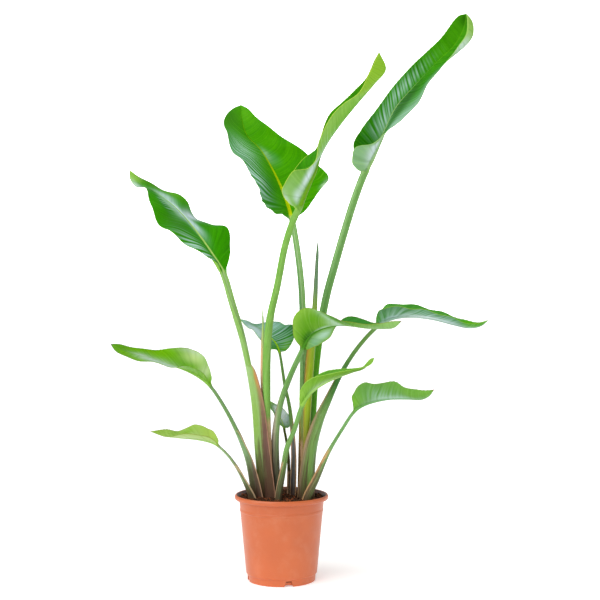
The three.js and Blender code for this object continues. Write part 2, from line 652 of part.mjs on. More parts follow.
// The soil: a plug that fills the pot, cut for the crowns and the stalks.
function soilBody(buried) {
  const low = POT.floorTop + TOUCH;
  const out = (z) => wallRadius(z) - POT.wall - TOUCH;
  const ring = (radius, height) =>
    Array.from({ length: POT.segments }, (_, j) => {
      const angle = (2 * Math.PI * j) / POT.segments;
      const x = radius * Math.cos(angle);
      const y = radius * Math.sin(angle);
      return new THREE.Vector3(x, y, height ?? soilTop(x, y));
    });
  const flareFrom = POT.height - POT.lipHeight - 3;
  const edge = out(flareFrom) + SOIL.flare;
  const rings = [
    ring(POT.footRadius - 3 - 2 * TOUCH, low),
    ring(out(POT.footHeight) - TOUCH, POT.footHeight),
    ring(out(flareFrom) - TOUCH, flareFrom),
    ring(edge),
    ...SOIL.rings.map((share) => ring(share * edge)),
  ];
  let solid = toSolid(closedBody(rings));
  for (const body of buried) solid = solid.subtract(toSolid(body));
  // A crumb that two holes cut loose is dropped.
  const [largest] = solid.decompose().sort((a, b) => b.volume() - a.volume());
  return fromSolid(largest);
}

const plastic = (colour) =>
  new THREE.MeshStandardMaterial({ color: colour, roughness: 0.5, metalness: 0 });
const matt = (colour) =>
  new THREE.MeshStandardMaterial({ color: colour, roughness: 0.95, metalness: 0 });
const glossyLeaf = (colour) =>
  new THREE.MeshStandardMaterial({ color: colour, roughness: 0.45, metalness: 0 });

const group = new THREE.Group();
const add = (name, geometry, material) => {
  const mesh = new THREE.Mesh(geometry, material);
  mesh.name = name;
  group.add(mesh);
};

// What the soil is cut for: the crowns, and each stalk as far as it is buried.
const buried = Object.values(CROWNS).map((crown) => crownBody(crown, TOUCH));
const buriedRows = (rows) => {
  const above = rows.findIndex((row) => row.places.every((p) => p.z > SOIL.top + HOLE_RISE));
  return rows.slice(0, above + 1);
};

for (const [name, leaf] of Object.entries(LEAVES)) {
  const build = SMALL_LEAVES.includes(name) ? SMALL : LARGE;
  const rows = leafRows(leaf, build);
  add(name, bodyFromRows(rows), glossyLeaf(YOUNG_LEAVES.includes(name) ? "#a9c850" : "#38850f"));
  buried.push(bodyFromRows(buriedRows(rows), HOLE));
}
for (const [name, spear] of Object.entries(SPEARS)) {
  const { body } = spearBody(spear);
  add(name, body, glossyLeaf("#8fb45a"));
  const thicker = spear.radii.map(([at, radius]) => [at, radius + HOLE]);
  const { rings } = spearBody({ line: spear.line, radii: thicker });
  const above = rings.findIndex((ring) => ring.every((p) => p.z > SOIL.top + HOLE_RISE));
  buried.push(closedBody(rings.slice(0, above + 1)));
}
add("pot", potBody(), plastic("#d4764a"));
add("soil", soilBody(buried), matt("#3c281e"));
for (const [name, crown] of Object.entries(CROWNS)) add(name, crownBody(crown), matt("#b79a72"));

export default group;
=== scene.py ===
import itertools
import math

import bmesh
import bpy
import numpy as np
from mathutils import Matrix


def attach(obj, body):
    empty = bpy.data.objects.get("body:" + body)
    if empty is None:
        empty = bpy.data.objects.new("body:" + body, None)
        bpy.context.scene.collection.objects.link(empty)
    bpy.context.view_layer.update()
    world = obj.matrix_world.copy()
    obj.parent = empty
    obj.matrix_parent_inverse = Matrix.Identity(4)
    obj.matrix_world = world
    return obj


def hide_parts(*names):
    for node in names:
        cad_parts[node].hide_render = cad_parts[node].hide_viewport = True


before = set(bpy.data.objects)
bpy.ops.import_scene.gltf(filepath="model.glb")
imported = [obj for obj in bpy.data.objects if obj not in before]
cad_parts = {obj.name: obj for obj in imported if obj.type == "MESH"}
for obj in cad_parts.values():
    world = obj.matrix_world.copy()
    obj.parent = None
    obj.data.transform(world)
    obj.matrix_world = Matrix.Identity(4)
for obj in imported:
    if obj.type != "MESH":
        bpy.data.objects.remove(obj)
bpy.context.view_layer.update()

# The potted bird of paradise: the fine leaves, pot and soil, and every surface's finish.
# Metres, +Z up, seen from the front along +Y. Tables of places are in millimetres.
MM = 0.001

# Camera: level, in front of the plant and as high as its middle.
CAMERA = {"place": (0.0376, -2.35, 0.57), "lens": 69.0, "sensor": 36.0}

# How the leaves are built, in millimetres. Nothing here is read from the frame: the soil's
# top, the pot's sizes and, but for a few places, the tables of leaves and spears repeat the
# values of the CAD's source.
SOIL_TOP = 167.5
FOOT = 120
STALK_STEP = 6.0
BLADE_STEP = {"large": 1.7, "small": 1.2}
COLUMNS = {"large": 26, "small": 20}
RIB_COLUMNS = 0.25
THICK = {"blade": 0.6, "sheath": 0.9, "face": 0.9}
STALK_CURL = 28
STALK_DEPTH = 1.7
STALK_TAPER = 1.3
RIB = {"tip": 0.5, "taper": 0.9}
EDGE_END = 0.12
CURL_END = {"full": 0.9, "fade": 24}
WAVE = {"ends": 5.6, "across": 2.5, "between": 0.31}
CHANNEL = {"depth": 0.42, "width": 0.62}
# Side veins leave the rib and sweep towards the tip, and the blade is pleated along them.
SWEEP = {"reach": (0.32, 0.32), "bend": 1.2, "from": (-0.05, 0.3)}
PLEAT = {"lengths": (7.6, 11.3, 17.0), "shares": (0.5, 0.35, 0.25), "lift": 0.3, "flat_below": 30}
PLEAT_DRIFT = {"sides": 3.1, "each": 1.7, "wander": 1.1, "length": 31}
EDGE_WEAR = {"length": 9.0, "beat": 23.7, "depth": 0.35}
FRILL = {"count": 118, "wander": 1.3, "length": 31, "from": (0.52, 0.3)}
LEAF_FACTS = ("out", "share", "reach", "core", "vein", "wing", "pleat")
SHARP = {"leaf": 60, "spear": 50, "pot": 35}

# Each leaf: its stalk, rib and two edges, the ways that its sheath and its blade face, the
# stalk's radius low and high, and how far each half of the blade bellies. A sheath is (height,
# left, right, wrap in degrees, taper) and a wave is (depth, count, start). Some leaves add how
# far their side veins sweep to the left and right, how curved these are, how broad the pleats
# are, how fast the rib thins, how frilled the left edge is, from where up the stalk it turns,
# and from where and how far the right edge curls in. A scratch program worked out most of the
# places, from points read off the photograph and from guessed depths.
LEAVES = {
    "leaf_tall_right": dict(
        stalk=[(58, 12, 120), (58, 12, 165), (65, 19, 364), (74, 24, 466), (91, 31, 570), (112, 37, 649),
            (134.5, 43, 728), (154, 50, 791)],
        rib=[(173, 59, 841), (191, 68, 875), (216, 83, 927), (241, 97, 979), (282, 112, 1028),
            (333, 128, 1083), (373, 140, 1124), (394, 148, 1165), (399, 153, 1193)],
        left=[(157, 61, 863), (149, 60, 897), (166, 67, 928), (194, 82, 967), (232, 101, 1020),
            (276, 119, 1072), (340, 137, 1135), (381, 148, 1187)],
        right=[(160, 36, 838), (145, 24, 853), (151, 18, 883), (188, 21, 891), (220, 34, 924),
            (253, 50, 948), (286, 66, 982), (306, 82, 1027), (338, 98, 1061), (374, 116, 1111),
            (395, 126, 1143), (399, 137, 1176)],
        clasps=(-1, 0, 0), faces=(-0.7, -0.6, 0.3), radius=(9, 7.1), belly=(-0.12, -0.2),
        sheath=(150, 10, 10, 62, 0.8), wave=(2, 4, 0.1), curl_from=0.66, curl_reach=(40, -14, -10),
        sweep=(0.17, 0.33), bend=1.0, pleat=1.3, thins=3.4,
    ),
    "leaf_tall_centre": dict(
        stalk=[(-26, -1, 120), (-26, -1, 165), (-31, -5, 366), (-30.5, -9, 447), (-22.5, -19, 533),
            (-8, -31, 600), (7, -50, 680), (22, -64, 729)],
        rib=[(34, -71, 756), (50, -80, 789), (68, -89, 825), (76, -96, 849), (92, -106, 878),
            (120, -119, 915), (150, -133, 950), (181, -149, 984), (201, -161, 1009), (187, -176, 1039)],
        left=[(22, -64, 763), (7, -55, 781), (9, -53, 806), (23, -55, 827), (46, -60, 851),
            (68, -70, 869), (77, -82, 892), (96, -99, 934), (117, -111, 954), (144, -125, 977),
            (164, -142, 996), (179, -161, 1027)],
        right=[(22, -79, 756), (2, -95, 781), (10, -103, 801), (26, -110, 823), (51, -111, 827),
            (69, -114, 842), (74, -126, 877), (93, -142, 916), (121, -154, 944), (150, -164, 967),
            (170, -173, 1002)],
        clasps=(1, 0.3, 0), faces=(-0.85, 0.1, 0.5), radius=(7.3, 7), belly=(-0.15, -0.15),
        sheath=(170, 8, 8, 62, 0.8), wave=(2, 4, 0.3), thins=4.2,
    ),
    "leaf_tall_left": dict(
        stalk=[(39.5, 14, 120), (39.5, 14, 165), (43, 20, 363), (44, 25, 467), (41, 39, 591),
            (32, 50, 674)],
        rib=[(19, 64, 746), (6, 71, 787), (-20, 81, 845), (-47, 93, 890), (-76, 106, 922),
            (-87, 123, 957), (-91, 146, 993)],
        left=[(5, 58, 748), (-15, 46, 751), (-39, 40, 774), (-54, 43, 814), (-82, 55, 859),
            (-107, 69, 887), (-119, 89, 931), (-125, 105, 954), (-107, 133, 984)],
        right=[(31, 60, 745), (50, 53, 758), (82, 48, 803), (98, 50, 825), (78, 60, 850), (54, 70, 877),
            (17, 80, 904), (-20, 93, 931), (-55, 113, 962), (-77, 137, 985)],
        clasps=(1, 0, 0), faces=(-0.1, -0.9, 0.35), radius=(8.2, 5.5), belly=(0.1, 0.08),
        sheath=(120, 9, 9, 62, 0.8), wave=(3, 5, 0.2), sweep=(0.66, 0.34), bend=1.5, pleat=0.7, frill=6.0,
    ),
    "leaf_upper_left": dict(
        stalk=[(-40, 2, 120), (-40, 2, 165), (-48, 4, 263), (-56, 9, 364), (-77, 14, 477),
            (-102, 20, 564)],
        rib=[(-121.5, 26, 629), (-145, 33, 667), (-179, 45, 714), (-218, 59, 759), (-268, 76, 798),
            (-302, 88, 818), (-325, 101, 846)],
        left=[(-133, 17, 646), (-165, 9, 665), (-194, 6, 683), (-228, 10, 709), (-255, 20, 728),
            (-272, 38, 767), (-285, 59, 801), (-306, 75, 808), (-323, 89, 827)],
        right=[(-112, 35, 645), (-107, 52, 680), (-116, 67, 721), (-148, 74, 732), (-182, 77, 739),
            (-200, 85, 779), (-239, 91, 800), (-282, 96, 819), (-307, 100, 834)],
        clasps=(1, 0, 0), faces=(0.3, -0.75, 0.5), radius=(8.5, 6.3), belly=(0.08, 0.1),
        sheath=(266, 38.5, 9, 90, 0.27), wave=(3, 5, 0.6), turn_from=0.6, sweep=(0.37, 0.42), pleat=1.2,
    ),
    "leaf_low_left": dict(
        stalk=[(-56, 0, 120), (-57, 0, 165), (-68, -4, 239), (-90, -15, 302), (-121, -33, 365)],
        rib=[(-143, -43, 399), (-162, -52, 416), (-186, -62, 430), (-219, -76, 443), (-257, -93, 456),
            (-293, -113, 467), (-314, -126, 476), (-327, -135, 485)],
        left=[(-148, -54, 412), (-160, -73, 431), (-179, -88, 438), (-205, -102, 439), (-234, -113, 445),
            (-262, -123, 452), (-294, -133, 458), (-317, -137, 472)],
        right=[(-140, -35, 413), (-147, -24, 435), (-161, -18, 459), (-185, -22, 472), (-224, -40, 473),
            (-261, -62, 471), (-296, -92, 479), (-316, -118, 485)],
        clasps=(1, 0.1, 0), faces=(0.1, -0.4, 0.9), radius=(7.5, 3.2), belly=(-0.15, -0.25),
        sheath=(140, 26, 10, 85, 0.5), wave=(2.2, 4, 0.2),
    ),
    "leaf_young_left": dict(
        stalk=[(-60, -14, 120), (-62, -14, 165), (-82, -23, 216), (-102, -36, 251)],
        rib=[(-126, -52, 279), (-140, -58, 287), (-165, -69, 294), (-199, -86, 299), (-226, -102, 304),
            (-253, -118, 315)],
        left=[(-131, -61, 289), (-148, -74, 300), (-171, -87, 306), (-196, -99, 307), (-223, -109, 303)],
        right=[(-126, -44, 289), (-135, -39, 305), (-149, -40, 313), (-172, -47, 321), (-190, -58, 315),
            (-206, -70, 310), (-224, -87, 316)],
        clasps=(1, 0.2, 0), faces=(0.1, -0.4, 0.9), radius=(6, 2.4), belly=(-0.2, -0.3),
        sheath=(75, 15, 8, 75, 0.8), wave=(1, 3, 0.0),
    ),
    "leaf_arching_right": dict(
        stalk=[(57, -21, 120), (57, -21, 165), (64, -22, 266), (79, -23, 325), (95, -24, 365),
            (118.5, -25, 418), (149.5, -27, 469)],
        rib=[(191, -31, 517), (211, -34, 530), (234, -37, 537), (268, -44, 538), (307, -54, 532),
            (346, -64, 521), (374, -72, 515), (395, -78, 519), (409, -81, 530)],
        left=[(198, -21, 531), (202, -10, 547), (213, -4, 560), (232, -5, 562), (262, -11, 562),
            (291, -19, 555), (330, -33, 544), (361, -50, 532), (391, -68, 526)],
        right=[(190, -41, 530), (192, -53, 544), (200, -63, 553), (216, -69, 557), (239, -75, 556),
            (274, -82, 552), (313, -88, 543), (348, -91, 531), (380, -90, 523)],
        clasps=(-0.25, 0.97, 0), faces=(-0.2, -0.1, 1), radius=(9, 4.4), belly=(-0.2, -0.2),
        sheath=(260, 17, 26, 60, 0.8), wave=(2.2, 5, 0.4), pleat=1.2,
    ),
    "leaf_cupped_centre": dict(
        stalk=[(-8, 3, 120), (-8, 3, 165), (-12, 0, 284), (-2.5, -8, 356), (17, -24, 414)],
        rib=[(44, -51, 474), (52, -56, 490), (62, -60, 502), (76, -63, 510), (94, -66, 516),
            (113, -69, 519), (137, -73, 518), (166, -80, 514), (198, -93, 513), (221, -106, 516),
            (235, -116, 529)],
        left=[(50, -56, 470), (64, -64, 476), (79, -70, 483), (97, -74, 496), (105, -69, 510),
            (113, -61, 524), (123, -56, 533), (137, -55, 537), (165, -62, 532), (184, -73, 525),
            (211, -93, 523)],
        right=[(36, -58, 480), (26, -65, 494), (23, -72, 514), (26, -79, 538), (40, -80, 552),
            (57, -79, 555), (77, -78, 548), (101, -83, 539), (120, -91, 528), (140, -97, 526),
            (166, -104, 524), (193, -112, 524), (218, -117, 529)],
        clasps=(-0.5, 0.85, 0), faces=(-0.2, 0.9, 0.3), radius=(7, 4.6), belly=(-0.1, -0.12),
        sheath=(200, 17, 11, 62, 0.8), wave=(1.5, 4, 0.4), thins=4.2,
    ),
    "leaf_unfurling_front": dict(
        stalk=[(-6, -28, 120), (-6, -28, 165), (4, -29, 227), (12, -32, 272), (26, -37, 308)],
        rib=[(41, -48, 359), (53, -52, 380), (66, -57, 393), (88, -62, 407), (113, -69, 418),
            (140, -78, 428), (162, -87, 435), (175, -94, 447), (183, -100, 457)],
        left=[(44, -44, 375), (50, -43, 397), (62, -44, 411), (74, -47, 421), (92, -52, 429),
            (117, -60, 433), (143, -71, 435), (162, -83, 439), (168.5, -88, 447), (176, -94, 455)],
        right=[(36, -55, 374), (39, -61, 393), (50, -67, 408), (65, -71, 417), (85, -75, 422),
            (113, -81, 428), (140, -88, 433), (160, -95, 438), (173.5, -99, 442), (180, -102, 449)],
        clasps=(-0.2, 0.9, 0), faces=(-0.3, 0.2, 0.9), radius=(6, 4.2), belly=(-0.35, -0.35),
        sheath=(80, 8, 8, 62, 0.8), wave=(0.6, 3, 0.0),
    ),
    "leaf_low_right": dict(
        stalk=[(53, -44, 120), (53, -44, 165), (74, -48, 217), (95, -54, 267), (121.5, -64, 314)],
        rib=[(144, -74, 350), (158, -79, 361), (180, -86, 370), (213, -98, 377), (248, -113, 378),
            (272, -125, 378), (286, -134, 385), (295, -142, 398)],
        left=[(151, -67, 363), (157, -61, 378), (169, -60, 391), (188, -65, 395), (215, -75, 399),
            (244, -92, 393), (271, -115, 390)],
        right=[(142, -81, 363), (139, -91, 379), (145, -98, 393), (153, -102, 404), (165, -105, 409),
            (180, -108, 407), (201, -116, 410), (221, -124, 412), (242, -133, 402), (270, -141, 397)],
        clasps=(-0.6, 0.8, 0), faces=(-0.3, -0.2, 0.9), radius=(6.5, 3.4), belly=(-0.2, -0.25),
        sheath=(110, 10, 12, 62, 0.8), wave=(2, 4, 0.5),
    ),
    "leaf_back_left": dict(
        stalk=[(22, 17, 120), (22, 17, 165), (24, 18, 261), (16, 20, 349), (6.5, 24, 393)],
        rib=[(-5, 33, 462), (-12, 39, 479), (-25, 47, 493), (-42, 60, 507), (-59, 75, 516),
            (-75, 92, 523), (-91, 110, 529)],
        left=[(-12, 31, 467), (-24, 32, 468), (-37, 35, 478), (-50, 46, 493), (-61, 60, 506),
            (-75, 80, 513)],
        right=[(7, 33, 464), (19, 36, 477), (27, 40, 499), (23, 42, 518), (8, 46, 517), (-6, 54, 525),
            (-23, 65, 525), (-43, 76, 518), (-60, 88, 520), (-77, 99, 526)],
        clasps=(0.3, -0.95, 0), faces=(0.1, -0.9, 0.4), radius=(6.5, 2.3), belly=(0.1, 0.1),
        sheath=(150, 10, 8, 62, 0.8), wave=(1.5, 4, 0.3), sweep=(0.3, 0.12), bend=1.6, pleat=0.5,
    ),
    "leaf_small_back": dict(
        stalk=[(14, 38, 120), (14, 38, 165), (13, 39, 248)],
        rib=[(4, 42, 304), (-2, 46, 322), (-12, 53, 338), (-23, 62, 350), (-32, 70, 357)],
        left=[(0, 39, 307), (-10, 40, 316), (-18, 46, 335), (-25, 56, 344)],
        right=[(13, 42, 304), (18, 46, 312), (15, 50, 328), (2, 55, 344), (-13, 62, 352), (-25, 69, 357)],
        clasps=(0.5, -0.8, 0), faces=(0.1, -0.9, 0.4), radius=(4.5, 2.2), belly=(0.15, 0.15),
        sheath=(50, 6, 6, 62, 0.8), wave=(0.8, 3, 0.0),
    ),
}

SPEARS = {
    "spear_right_clump": dict(
        edge=0.6,
        line=[(48, -3, 120), (48, -3, 165), (50, -5, 285), (53, -6, 366), (57.5, -7, 438),
            (61.5, -7, 485), (67.5, -7, 550), (71, -6, 621), (74.5, -5, 695)],
        radii=[(0, 6), (0.15, 6.5), (0.3, 8), (0.45, 9.3), (0.56, 9.5), (0.64, 7.8), (0.73, 6),
            (0.83, 4.9), (0.94, 3.4), (1, 0.4)],
    ),
    "spear_left_clump": dict(
        edge=0.55,
        line=[(-31, 18, 120), (-31, 18, 165), (-36, 10, 324), (-39, 5, 416), (-39, 3, 478), (-38, 2, 519),
            (-39.5, 2, 556)],
        radii=[(0, 4.5), (0.65, 4.5), (0.78, 3.7), (0.88, 2.8), (0.96, 1.4), (1, 0.4)],
    ),
}

SMALL_LEAVES = (
    "leaf_young_left",
    "leaf_unfurling_front",
    "leaf_low_right",
    "leaf_back_left",
    "leaf_small_back",
)
YOUNG_LEAVES = ("leaf_young_left", "leaf_unfurling_front")


def mirrored(shade, out, across, *rest):
    """A tint and the same one on the other half of the blade."""
    return [(shade, out, side, *rest) for side in (across, -across)]


# How a grown leaf looks, in the colours of a screen. Heights are in millimetres, and shares
# run from the stalk's end to the tip. A tint is (colour, out, across, length, width, amount):
# a soft patch at a share out along the blade and a share across it, from -1 at the left edge
# to 1 at the right. On a stalk the place is its height, and how far it is from the middle
# line. Many tints hold painted light: the near-white bluish ones are partly pale wax and
# partly a painted sheen, and the darkest greens are partly deeper green and partly painted
# shade. A patch of pale wax with a painted sheen, streaked by the veins, is given without a colour.
GROWN = dict(
    # The fold colour is painted shade for the hollows between the pleats.
    upper=(52, 140, 0), deep_green=(38, 120, 0), fold=(24, 92, 4), vein=(92, 168, 30),
    # The pale wax colour is partly the leaf's wax and partly a painted sheen.
    pale_wax_and_sheen=(176, 208, 200), tip=(62, 145, 6), tip_from=0.8,
    # The under colours are partly the underside's own paler green and partly painted light let through the
    # leaf.
    under=(126, 180, 66), under_deep=(108, 168, 50), under_vein=(160, 200, 110), under_tip=(150, 195, 60),
    keel=(150, 195, 90), keel_amount=0.6, keel_end=1.1,
    rib=(170, 200, 90), rib_tip=(110, 175, 20), rib_wide=0.6, margin=(128, 176, 50), dry=(150, 120, 80),
    dry_from=0.99,
    # The stalk's light colour is its paler tone, and also paints a highlight band down the stalk.
    stalk=(112, 172, 60), stalk_dark=(96, 160, 46), stalk_light_and_highlight=(142, 190, 92), base=(140, 112, 96),
    base_top=330, base_low=200,
    # The stain colour is partly real stains and partly painted shade low between the stalks.
    hem=(196, 158, 124), hem_width=1.2, stain_and_shade=(82, 60, 50), earth=(84, 58, 46),
    streaky=1.2, soft=0.7, grain=1.0, lines=0.26, folds=0.14, gloss=0.13,
)
LOOKS = {
    "leaf_tall_right": dict(
        under=(132, 178, 120), under_deep=(112, 164, 92), under_tip=(125, 168, 72),
        rib=(190, 214, 150), rib_tip=(100, 168, 10), rib_wide=0.8, margin=(150, 196, 90),
        stalk=(124, 168, 100), stalk_dark=(114, 162, 84), stalk_light_and_highlight=(170, 202, 150),
        base=(100, 120, 66), base_top=250,
        streaky=2.4, soft=1.0, lines=0.4, folds=0.22, gloss=0.1,
        upper_tints=[
            # The darkest greens right of the rib are painted shade, and the paler grey-greens are partly
            # wax and partly a painted sheen.
            ((22, 104, 0), 0.16, -0.7, 0.08, 0.5, 0.85), ((22, 84, 8), 0.42, 0.16, 0.14, 0.2, 1.3),
            ((150, 190, 166), 0.34, 0.8, 0.14, 0.4, 0.85), ((128, 172, 130), 0.56, 0.95, 0.18, 0.25, 0.6),
            ((120, 172, 120), 0.26, -0.12, 0.1, 0.2, 0.7), ((70, 150, 6), 0.78, -0.4, 0.12, 0.5, 0.5),
            ((22, 92, 0), 0.97, -0.3, 0.05, 0.6, 0.8), ((30, 92, 14), 0.36, 0.3, 0.1, 0.2, 0.7),
        ],
        under_tints=[
            # The near-white tints are partly pale wax and partly a painted sheen.
            ((134, 180, 130), 0.1, 0.95, 0.1, 0.4, 0.8), ((206, 222, 226), 0.14, 0.2, 0.09, 0.32, 0.95),
            ((196, 214, 206), 0.83, 0.9, 0.05, 0.4, 0.7), ((122, 166, 76), 0.93, 0.5, 0.05, 0.6, 0.6),
        ],
        stalk_tints=[
            # The long thin darker strip down one side of the stalk is painted shade.
            ((78, 148, 16), 420, 0, 110, 14, 1.7), ((84, 134, 72), 560, 8, 260, 2.5, 0.5),
            ((100, 146, 84), 590, -2, 60, 8, 0.9), ((84, 156, 8), 450, 2, 50, 8, 0.9),
        ],
        upper_bloom=[
            (0.27, -0.35, 0.07, 0.36, 0.85), (0.42, -0.5, 0.12, 0.36, 0.66),
            (0.56, -0.5, 0.12, 0.3, 0.45), (0.48, 0.9, 0.2, 0.24, 0.7),
        ],
    ),
    "leaf_tall_centre": dict(
        tip_from=0.7,
        under=(122, 176, 64), under_deep=(104, 162, 44), under_tip=(128, 174, 44), keel=(98, 146, 24),
        keel_amount=0.95, keel_end=0.26,
        margin=(186, 212, 76),
        stalk=(128, 176, 84), stalk_dark=(110, 162, 70), stalk_light_and_highlight=(164, 204, 116), base=(112, 84, 70),
        base_top=300, base_low=225,
        upper_tints=[((74, 148, 10), 0.25, 0.5, 0.3, 0.8, 0.6)],
        under_tints=[
            ((214, 226, 232), 0.34, 0.0, 0.055, 0.9, 0.9),
            *mirrored((208, 222, 230), 0.2, 0.26, 0.09, 0.16, 0.95),
            *mirrored((196, 216, 214), 0.08, 0.45, 0.05, 0.22, 0.85),
            *mirrored((132, 176, 104), 0.15, 0.8, 0.07, 0.25, 0.7),
            *mirrored((190, 212, 196), 0.07, 0.95, 0.05, 0.12, 0.7),
            ((88, 158, 14), 0.66, 0.0, 0.17, 0.3, 0.75),
            *mirrored((140, 184, 90), 0.56, 0.85, 0.14, 0.3, 0.6),
        ],
        stalk_tints=[
            ((122, 92, 80), 190, -14, 95, 34, 2.6), ((150, 120, 90), 268, -2, 40, 4, 0.8),
            ((112, 160, 72), 410, 0, 90, 12, 0.7),
        ],
        under_bloom=[(0.4, 0.3, 0.1, 0.6, 0.35), (0.4, -0.3, 0.1, 0.6, 0.35)],
    ),
    "leaf_tall_left": dict(
        upper=(64, 146, 0), deep_green=(52, 134, 0),
        rib=(190, 204, 10), rib_tip=(116, 168, 6), rib_wide=0.95, margin=(120, 168, 84),
        stalk=(132, 174, 104), stalk_dark=(112, 158, 88), stalk_light_and_highlight=(170, 200, 150),
        base=(112, 104, 50),
        streaky=2.0, soft=0.4, grain=1.7, lines=0.45, folds=0.3, gloss=0.07,
        upper_tints=[
            ((30, 104, 24), 0.22, -0.7, 0.16, 0.4, 0.8), ((84, 140, 96), 0.55, -0.95, 0.16, 0.3, 0.75),
            ((72, 132, 96), 0.3, -0.95, 0.1, 0.2, 0.6), ((150, 184, 150), 0.5, 0.06, 0.06, 0.07, 0.6),
            ((84, 150, 90), 0.47, 0.16, 0.05, 0.1, 0.5), ((86, 160, 6), 0.9, 0.4, 0.1, 0.5, 0.5),
            ((40, 112, 10), 0.86, -0.8, 0.1, 0.3, 0.6), ((186, 212, 180), 0.26, 1.0, 0.025, 0.06, 0.95),
            ((56, 120, 24), 0.82, -0.6, 0.08, 0.5, 0.7),
        ],
        stalk_tints=[
            ((140, 104, 50), 245, -4, 90, 3, 1.2), ((116, 116, 40), 270, 4, 90, 8, 0.9),
            ((86, 136, 84), 560, -6, 120, 2, 0.7),
        ],
        upper_bloom=[
            (0.57, -0.6, 0.1, 0.34, 0.75), (0.43, -0.85, 0.12, 0.3, 0.7), (0.28, -0.85, 0.12, 0.3, 0.5),
        ],
    ),
    "leaf_upper_left": dict(
        upper=(50, 142, 0), deep_green=(42, 128, 0), tip=(136, 186, 72), tip_from=0.84,
        rib=(176, 206, 110), rib_tip=(130, 180, 80), rib_wide=0.45,
        stalk=(142, 180, 104), stalk_dark=(124, 168, 82), stalk_light_and_highlight=(168, 196, 146), base=(112, 92, 62),
        base_top=215, base_low=172,
        hem=(160, 118, 98), hem_width=1.0,
        upper_tints=[
            # The near-white bluish tints are partly pale wax and partly a painted sheen.
            ((42, 116, 0), 0.46, -0.5, 0.14, 0.4, 0.95), ((22, 100, 10), 0.6, -0.35, 0.08, 0.12, 0.7),
            ((148, 188, 150), 0.6, -0.16, 0.1, 0.06, 0.75), ((180, 206, 208), 0.4, 0.1, 0.11, 0.13, 0.95),
            ((186, 208, 212), 0.56, 0.04, 0.14, 0.13, 0.95),
            ((200, 214, 224), 0.48, 0.55, 0.05, 0.5, 0.95),
            ((172, 200, 196), 0.68, 0.2, 0.08, 0.22, 0.85), ((96, 164, 40), 0.74, 0.8, 0.12, 0.4, 0.8),
            ((60, 120, 20), 0.86, 0.9, 0.1, 0.5, 0.8), ((192, 212, 206), 0.86, -0.9, 0.06, 0.5, 0.8),
        ],
        stalk_tints=[
            ((128, 138, 72), 215, -3, 40, 11, 1.0), ((134, 172, 78), 320, -5, 90, 10, 0.85),
            ((112, 112, 52), 300, -18, 80, 3, 0.8), ((124, 92, 80), 335, -32, 60, 10, 2.6),
            ((106, 76, 70), 262, -33, 60, 12, 2.8), ((88, 58, 48), 186, -29, 30, 13, 2.2),
            ((150, 108, 84), 384, -30, 22, 9, 1.8), ((182, 124, 72), 416, -25, 20, 9, 2.2),
        ],
        upper_bloom=[(0.21, -0.75, 0.14, 0.32, 1.15), (0.62, -0.3, 0.08, 0.1, 0.5)],
    ),
    "leaf_low_left": dict(
        upper=(116, 176, 10), deep_green=(100, 168, 0), vein=(130, 188, 30), tip=(104, 168, 40),
        tip_from=0.86,
        under=(125, 172, 70),
        margin=(110, 150, 50), dry=(120, 108, 96), dry_from=0.975,
        stalk=(118, 154, 100), stalk_dark=(108, 146, 88), stalk_light_and_highlight=(142, 172, 130), base=(98, 130, 84),
        base_top=250,
        hem=(190, 150, 120),
        upper_tints=[
            ((96, 166, 20), 0.88, 0.4, 0.14, 0.7, 0.85), ((104, 172, 0), 0.46, 0.65, 0.12, 0.3, 0.8),
            ((92, 162, 0), 0.31, 0.4, 0.08, 0.3, 0.85), ((186, 208, 186), 0.7, 0.25, 0.08, 0.3, 0.85),
            ((186, 208, 186), 0.6, -0.15, 0.12, 0.36, 0.9), ((188, 210, 192), 0.46, -0.5, 0.14, 0.5, 1.0),
            ((190, 214, 140), 0.28, 0.82, 0.09, 0.28, 0.9), ((196, 216, 160), 0.13, 0.7, 0.06, 0.5, 0.8),
            ((160, 200, 90), 0.12, -0.5, 0.08, 0.5, 0.7), ((186, 208, 170), 0.32, 0.98, 0.1, 0.12, 0.8),
        ],
        stalk_tints=[((110, 98, 84), 205, -20, 42, 9, 2.2)],
        upper_bloom=[(0.56, -0.2, 0.16, 0.4, 0.4)],
    ),
    "leaf_young_left": dict(
        upper=(168, 204, 98), deep_green=(160, 198, 86), vein=(176, 210, 100), tip=(158, 196, 76),
        under=(172, 200, 120), under_deep=(166, 198, 112), under_tip=(160, 196, 90),
        rib=(176, 206, 110), rib_tip=(160, 200, 80), margin=(140, 150, 60), dry=(150, 84, 44),
        dry_from=0.975,
        stalk=(150, 178, 130), stalk_dark=(134, 166, 110), stalk_light_and_highlight=(172, 194, 156),
        base=(125, 150, 100), base_top=220,
        hem=(206, 178, 140), hem_width=2.4,
        upper_tints=[
            ((130, 186, 0), 0.47, 0.62, 0.07, 0.2, 0.9), ((186, 208, 96), 0.2, 0.7, 0.1, 0.5, 0.6),
            ((186, 206, 140), 0.42, 0.2, 0.14, 0.4, 0.8), ((188, 208, 150), 0.5, -0.2, 0.25, 0.5, 0.7),
        ],
        under_tints=[
            ((176, 202, 160), 0.5, 0.0, 0.3, 0.4, 0.6), ((188, 208, 150), 0.5, -0.2, 0.25, 0.5, 0.7),
        ],
    ),
    "leaf_arching_right": dict(
        upper=(74, 146, 56), deep_green=(54, 128, 40), tip=(80, 160, 20), tip_from=0.74,
        under=(104, 154, 116), under_deep=(72, 132, 82), under_vein=(180, 206, 204),
        under_tip=(78, 152, 32), keel=(150, 180, 160),
        stalk=(114, 150, 84), stalk_dark=(98, 138, 68), stalk_light_and_highlight=(142, 174, 134), base=(98, 128, 66),
        base_top=260, base_low=180,
        hem=(150, 122, 84), hem_width=0.9,
        soft=0.8, gloss=0.12,
        under_tints=[
            # The near-white bluish tints are partly pale wax and partly a painted sheen.
